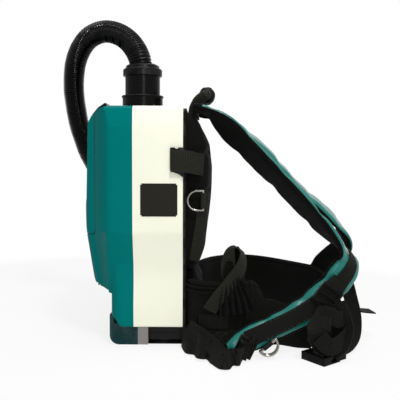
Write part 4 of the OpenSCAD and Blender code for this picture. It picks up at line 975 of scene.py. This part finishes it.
def cushion(name, node, z0, z1, half, depths, channels, rows=56):
    """Crowned pad on the back plate, with sewn channels across it and two along it."""
    columns = 44
    span = z1 - z0
    reach, sunk, least = 4.5 * MM, 5 * MM, 4 * MM  # of a channel, and the pad's least thickness
    tapering = [(0, 0.84), (0.04, 0.93), (0.1, 0.975), (0.3, 1), (0.7, 1), (0.9, 0.975), (0.96, 0.93),
                (1, 0.84)]
    bm = bmesh.new()
    bmesh.ops.create_grid(bm, x_segments=columns, y_segments=rows, size=0.5)
    chart = bm.loops.layers.uv.new("UVMap")

    def depth(u, v):
        full = lookup(u, depths) * (1 - 0.2 * abs(v) ** 3) * (1 - 0.36 * abs(v) ** 14)
        sewn = sum(math.exp(-((u - c) * span / reach) ** 2) for c in channels)
        sewn *= lookup(abs(v), [(0, 0), (0.38, 0), (0.5, 1), (1, 1)])
        sewn += math.exp(-((abs(v) - 0.4) * half / reach) ** 2)
        return max(least, full - sunk * min(1, sewn))

    for vert in bm.verts:
        v, u = vert.co.x * 2, vert.co.y + 0.5
        vert.co = Vector((PLATE_X + depth(u, v), half * lookup(u, tapering) * v, z0 + span * u))
    for face in bm.faces:
        for loop in face.loops:
            loop[chart].uv = (loop.vert.co.y, loop.vert.co.z)
    rim = [e for e in bm.edges if e.is_boundary]
    made = bmesh.ops.extrude_edge_only(bm, edges=rim)["geom"]
    for vert in (g for g in made if isinstance(g, bmesh.types.BMVert)):
        vert.co.x = PLATE_X + 0.4 * MM
    bmesh.ops.holes_fill(bm, edges=[e for e in bm.edges if e.is_boundary], sides=0)
    bmesh.ops.recalc_face_normals(bm, faces=bm.faces)
    ripple(bm, 1.2 * MM, 34, 11.0)
    for vert in bm.verts:
        vert.co.x = max(vert.co.x, PLATE_X + 0.3 * MM)
    pad = new_piece(name, bm, ["pad_cloth"], "unit", [node], 70)


class VACUUM_OT_pads(bpy.types.Operator):
    """Back pad, lumbar pad and hip wings"""
    bl_idname = "vacuum.pads"
    bl_label = "Pads"

    def execute(self, context):
        sizes = context.scene.vacuum_sizes
        low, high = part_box("back_pad")
        thick = 40 * MM
        cushion("back_pad_cloth", "back_pad", low.z, high.z, high.y,
                [(0, thick * 0.46), (0.12, thick * 0.74), (0.45, thick * 0.97), (0.65, thick * 1.03),
                 (0.8, thick * 0.92), (0.93, thick * 0.54), (1, thick * 0.26)], (0.25, 0.5, 0.75))
        low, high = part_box("lumbar_pad")
        cushion("lumbar_pad_cloth", "lumbar_pad", low.z, high.z, high.y,
                [(0, 14 * MM), (0.2, 24 * MM), (0.5, 28 * MM), (0.8, 25 * MM), (1, 15 * MM)], (0.5,), 36)
        near = hip_wing("wing_near", "hip_wing_near", NEAR_WING, 106 * MM, (0.62, 0.86), sizes)
        hip_wing("wing_far", "hip_wing_far", FAR_WING, 97 * MM, (0.86, 0.94), sizes)
        face = WING_T / 2 + 1 * MM

        def along(across, first, last):
            return [s.moved(across * MM, face) for s in near if first <= s.share <= last]

        for name, across, first, last in (("upper", -6, 0.3, 0.6), ("lower", -30, 0.06, 0.78)):
            bm = sweep(along(across, first, last), lambda s: band_section(22 * MM, WEBBING_T))
            new_piece(f"wing_band_{name}", bm, ["webbing_dark"])
        for name, across in (("first", 38), ("second", 45)):
            bm = sweep(along(across, 0.12, 0.66), lambda s: round_section(sizes.piping, 8), flat=False)
            new_piece(f"wing_seam_{name}", bm, ["pad_cloth"])
        spots = []
        for share in (0.16, 0.52):
            nearest = min(near, key=lambda s: abs(s.share - share))
            spots += cross_box(nearest, -30 * MM, face + WEBBING_T / 2, 16 * MM, sizes.stitch)
        stitches("wing_stitches", spots)
        return {"FINISHED"}


def pleated_section(width, thick, pleats, depth):
    """Section of cloth gathered into pleats, with its sheet waving out and in across its width."""
    count = pleats * 8
    sheet = [(width * (0.5 - k / count), depth * math.cos(math.tau * pleats * k / count) / 2)
             for k in range(count + 1)]
    return [(x, y + thick / 2) for x, y in sheet] + [(x, y - thick / 2) for x, y in reversed(sheet)]


def belt(name, rows, sides, widths=((0, 25), (1, 25)), steps=10, replaces=(), slot="webbing_dark"):
    """Webbing of the harness through rows of points, with its widths along it."""
    line = stations(on_harness(rows), vectors(sides), steps)
    bm = sweep(line, lambda s: band_section(lookup(s.share, widths) * MM, WEBBING_T))
    new_piece(name, bm, [slot], "unit", replaces)


def side_webbing(side, sign):
    """Strap from a side clip of the shell, strip down the back pad, and the loop that holds the D-ring."""
    belt(f"wrap_{side}",
         [(-22, sign * 120.5, 292), (-2, sign * 120.5, 291), (7, sign * 117.5, 290),
          (17, sign * 106.5, 287.5), (26, sign * 96, 286)],
         [(0, 0, 1)] * 5, [(0, 33), (1, 33)], 8, [f"wrap_strap_{side}"], "webbing")
    belt(f"pad_strip_{side}",
         [(24, sign * 91.4, 217), (23, sign * 91.6, 200), (18, sign * 90.6, 170), (12, sign * 87.4, 136)],
         [(1, 0, 0)] * 4, [(0, 17), (1, 16)], 8, ["pad_webbing"] if sign < 0 else (), "webbing")
    loop = [Station(Vector((PLATE_X + 26 * MM, sign * 98 * MM, (231 + k) * MM)), Vector((1, 0, 0)),
                    Vector((0, 1, 0)), k * MM) for k in (-12, -6, 0, 6, 12)]
    tube(f"ring_loop_{side}", loop, 4 * MM, "webbing", 14)


def lower_webbing():
    """Webbing low over the floor, from the unit's foot to the ladder lock, with its fold and its tail."""
    belt("lower_belt",
         [(-5, -103, 20), (4, -124, 18), (15, -134, 19), (24, -151, 18), (36, -155, 17), (45, -174, 14),
          (57, -190, 12), (68, -174, 13), (76, -177, 13), (85, -163, 14)],
         [(0, 0.1, 0.97), (0.1, 0.3, 0.95), (0, 0.3, 0.93), (0.15, 0.5, 0.9), (0.1, 0.5, 0.9),
          (0.2, 0.6, 0.8), (0, 0.7, 0.8), (0.1, 0.6, 0.8), (0.1, 0.4, 0.8), (0.3, 0.1, 0.95)],
         [(0, 34), (0.3, 34), (0.6, 26), (1, 23)], replaces=["lower_webbing"])
    belt("lower_fold", [(4, -118, 40), (20, -136, 33), (36, -150, 25), (52, -168, 14), (66, -180, 8)],
         [(0.3, 0.1, 0.9), (-0.1, 0.4, 0.9), (0.2, 0.5, 0.8), (0.1, 0.8, 0.6), (0.2, 0.8, 0.3)])
    belt("lock_tail",
         [(100, -152, 34), (94, -158.6, 28), (88, -158.6, 20), (83, -160, 12), (80, -164, 7)],
         [(0.5, 0, 0.85), (0.75, 0, 0.6), (0.9, 0, 0.35), (0.9, 0, 0.35), (0.9, 0.2, 0.3)],
         [(0, 22), (1, 19)])


def wing_webbing():
    """Loop of webbing on the near wing, with its tongue, its fold and the cloth gathered under it."""
    belt("wing_belt",
         [(66, -123, 113), (64, -125, 134), (66, -127, 154), (74, -128, 164), (84, -130, 155),
          (82, -132, 134), (66, -133, 110), (49, -132.4, 88), (36, -130, 68)],
         [(0.9, -0.4, 0), (0.85, -0.5, 0), (0.5, -0.8, -0.1), (0.1, -0.95, 0.1), (-0.3, -0.9, 0.2),
          (-0.6, -0.6, 0.4), (-0.75, -0.25, 0.5), (-0.75, -0.15, 0.55), (-0.75, -0.2, 0.55)],
         [(0, 25), (0.5, 25), (0.75, 21), (1, 22)], replaces=["wing_webbing"], slot="webbing")
    belt("wing_tongue", [(104, -100, 41), (122, -92, 40), (146, -90, 36), (172, -98, 28), (196, -112, 22)],
         [(0, 0, 1)] * 5, [(0, 76), (0.3, 74), (0.8, 50), (1, 36)])
    belt("wing_fold", [(74, -123, 164), (77, -124, 146), (77, -126, 112)],
         [(0.95, -0.2, 0), (1, 0, 0), (1, 0, 0)], [(0, 10), (0.25, 22), (1, 25)])
    fan = stations(on_harness([(65, -130, 143), (67, -131, 122), (72, -132.5, 96), (77, -131.5, 64)]),
                   vectors([(0.9, 0, 0.3), (0.95, 0, 0.2), (0.97, 0, 0.2), (0.97, 0, 0.25)]), 8)
    spread = [(0, 11), (0.35, 25), (0.7, 44), (1, 54)]

    def section(s):
        return pleated_section(lookup(s.share, spread) * MM, 1.2 * MM, 5, (3 + 5 * s.share) * MM)

    bm = sweep(fan, section)
    ripple(bm, 1.5 * MM, 60, 5.0)
    new_piece("wing_gather", bm, ["pad_cloth"], sharp=60)


def chest_webbing():
    """Webbing that runs on from the near strap's slider and lies in a heap down to the floor."""
    belt("slider_belt",
         [(231, -135, 116), (222, -138.6, 107), (213, -139.4, 97), (205, -139.4, 88), (198, -139, 80)],
         [(0.68, 0, -0.73)] * 5, [(0, 26), (0.3, 31), (1, 31)])
    belt("chest_belt",
         [(210, -144, 80), (204, -151, 71), (197, -160, 58), (192, -166, 44), (196, -161, 28),
          (205, -166, 14)],
         [(0.9, 0, 0.4), (0.95, 0, 0.25), (1, -0.2, 0.1), (0.9, 0.3, 0), (1, -0.1, -0.1),
          (0.8, 0.5, -0.1)],
         [(0, 25), (0.25, 27), (0.5, 36), (0.75, 26), (1, 20)], replaces=["chest_webbing"])
    belt("chest_fold",
         [(224, -141, 84), (230, -149, 64), (233, -152, 45), (226, -155, 26), (212, -158, 13)],
         [(0.85, -0.3, 0.4), (0.8, -0.5, 0.2), (0.8, -0.6, 0), (0.7, -0.6, -0.3), (0.5, -0.5, -0.7)],
         [(0, 25), (0.4, 30), (1, 28)])
    belt("chest_back", [(212, -138, 92), (222, -140, 64), (217, -141, 40), (212, -142, 22)],
         [(1, 0, 0.2), (1, 0, 0), (1, 0.1, 0), (1, 0, 0)], [(0, 25), (0.4, 40), (1, 40)])
    belt("chest_wrap", [(194, -169, 40), (208, -172, 27), (224, -165, 31), (240, -148, 42)],
         [(0, 0.1, 1), (0.3, 0.1, 1), (0, 0.1, 1), (0.2, 0.1, 1)])
    belt("chest_knot", [(200, -152, 74), (216, -158, 66), (229, -154, 63), (238, -141, 70)],
         [(0.3, 0.1, 1), (0.1, 0.1, 1), (-0.2, 0.1, 1), (-0.3, 0.1, 1)], [(0, 18), (0.5, 25), (1, 18)])


def hip_webbing():
    """Webbing of the hip belt, from the far wing over to the buckle, and its loose tail."""
    belt("hip_belt",
         [(254.6, 21.2, 52), (258, 9, 78), (264, -4, 90), (270, -18, 81), (274, -34, 57), (271, -58, 33),
          (261, -82, 15), (245, -108, 7), (229, -128.5, 6.2)],
         [(0.1, 0.1, 1), (0.5, -0.4, 0.7), (0.6, -0.75, 0.2), (0.5, -0.8, 0.3), (0.4, -0.88, 0.25),
          (0.5, -0.85, 0.15), (0.6, -0.8, 0), (0.6, -0.8, 0), (0.62, -0.79, 0)],
         [(0, 33), (1, 33)], replaces=["belt_webbing"])
    belt("hip_belt_tail", [(276, -34, 48), (290, -31, 44), (311, -26, 41)],
         [(0, 1, 0), (0, 1, 0), (0.1, 1, 0)])


class VACUUM_OT_webbing(bpy.types.Operator):
    """Straps of webbing on the harness"""
    bl_idname = "vacuum.webbing"
    bl_label = "Webbing"

    def execute(self, context):
        side_webbing("near", -1)
        side_webbing("far", 1)
        lower_webbing()
        wing_webbing()
        chest_webbing()
        hip_webbing()
        return {"FINISHED"}


class VACUUM_OT_handle(bpy.types.Operator):
    """Carry handle and its grip"""
    bl_idname = "vacuum.handle"
    bl_label = "Carry handle"

    def execute(self, context):
        top = PAD_TOP / MM
        high = top + 32
        half = [(10, 25, top - 6), (10, 25, top + 6), (15, 28, top + 19), (24, 31, high - 4),
                (31, 26, high)]
        route = on_harness([(x, -y, z) for x, y, z in half] + half[::-1])
        line = even_stations(curve_through(route, 8), (1, 0, 0), 2 * MM)
        bm = sweep(line, lambda s: round_section(8.8 * MM, 22, 0.9), flat=False)
        ripple(bm, 1.0 * MM, 90, 2.0)
        new_piece("handle_webbing", bm, ["webbing"], "unit", ["carry_handle"])
        grip = [s for s in line if abs(s.point.y) < 25 * MM and s.point.z > (high - 6) * MM]
        radii = [(0, 13 * MM), (0.021, 13 * MM), (0.0245, 9 * MM)]  # by distance from the middle

        def fluted(s):
            """Round section with six soft flutes that wind along the grip."""
            section = []
            for x, y in round_section(lookup(abs(s.point.y), radii), 36):
                swell = 1 + 0.05 * math.cos(6 * math.atan2(y, x) + s.distance / (2.2 * MM))
                section.append((x * swell, y * swell))
            return section

        bm = sweep(grip, fluted, flat=False)
        new_piece("handle_roll", bm, ["seal_rubber"], "unit", ["handle_grip"], 60)
        return {"FINISHED"}


RING_TILT = math.radians(50)  # lean of the bars that the lower D-rings hang on


class VACUUM_OT_rings(bpy.types.Operator):
    """D-rings, buckles and the loops that hold them"""
    bl_idname = "vacuum.rings"
    bl_label = "Rings and buckles"

    def execute(self, context):
        for name in ("upper_near", "upper_far", "lower_outer", "lower_inner"):
            where, which = name.split("_")
            moulding(f"d_ring_{name}", "steel", f"{where}_ring_{which}", sharp=60)
        bar, side = Vector((math.sin(RING_TILT), 0, math.cos(RING_TILT))), Vector((0, 1, 0))
        for k, y in enumerate((-146.7, -152.7)):
            middle = Vector((PLATE_X + 122 * MM, y * MM, 22 * MM))
            loop = [Station(middle + bar * (d * MM), side, bar.cross(side), (d + 8) * MM)
                    for d in (-8, -3, 3, 8)]
            tube(f"lower_loop_{k}", loop, 3.2 * MM, "webbing", 12)
        for node in ("ladder_lock", "strap_slider", "buckle_female", "buckle_male"):
            moulding(node, "black_plastic", edges=0.8 * MM)
        return {"FINISHED"}


class VACUUM_OT_switches(bpy.types.Operator):
    """Switch box with its keys"""
    bl_idname = "vacuum.switches"
    bl_label = "Switch box"

    def execute(self, context):
        moulding("control_box", "black_plastic", edges=2 * MM, segments=ROUNDING_STEPS)
        moulding("power_button", "red_plastic", "power_key", edges=0.8 * MM)
        moulding("mode_button", "key_grey", "mode_key", edges=0.8 * MM)
        return {"FINISHED"}


class VACUUM_PT_parts(bpy.types.Panel):
    """Builds the vacuum cleaner piece by piece"""
    bl_label = "Backpack vacuum cleaner"
    bl_space_type = "VIEW_3D"
    bl_region_type = "UI"
    bl_category = "Vacuum"

    def draw(self, context):
        for settings in (context.scene.vacuum_sizes, context.scene.vacuum_colours):
            box = self.layout.box()
            for key in settings.__annotations__:
                box.prop(settings, key)
        for operator in OPERATORS:
            self.layout.operator(operator.bl_idname)


OPERATORS = (
    VACUUM_OT_stage, VACUUM_OT_hose, VACUUM_OT_shells, VACUUM_OT_fittings, VACUUM_OT_inside,
    VACUUM_OT_batteries, VACUUM_OT_pads, VACUUM_OT_straps, VACUUM_OT_webbing, VACUUM_OT_handle,
    VACUUM_OT_rings, VACUUM_OT_switches,
)
CLASSES = (VACUUM_PG_sizes, VACUUM_PG_colours, *OPERATORS, VACUUM_PT_parts)


def register():
    for cls in CLASSES:
        bpy.utils.register_class(cls)
    bpy.types.Scene.vacuum_sizes = bpy.props.PointerProperty(type=VACUUM_PG_sizes)
    bpy.types.Scene.vacuum_colours = bpy.props.PointerProperty(type=VACUUM_PG_colours)


def unregister():
    del bpy.types.Scene.vacuum_colours
    del bpy.types.Scene.vacuum_sizes
    for cls in reversed(CLASSES):
        bpy.utils.unregister_class(cls)


def main():
    register()
    materials(bpy.context.scene.vacuum_colours)
    for operator in OPERATORS:
        group, name = operator.bl_idname.split(".")
        getattr(getattr(bpy.ops, group), name)()


if __name__ == "__main__":
    main()
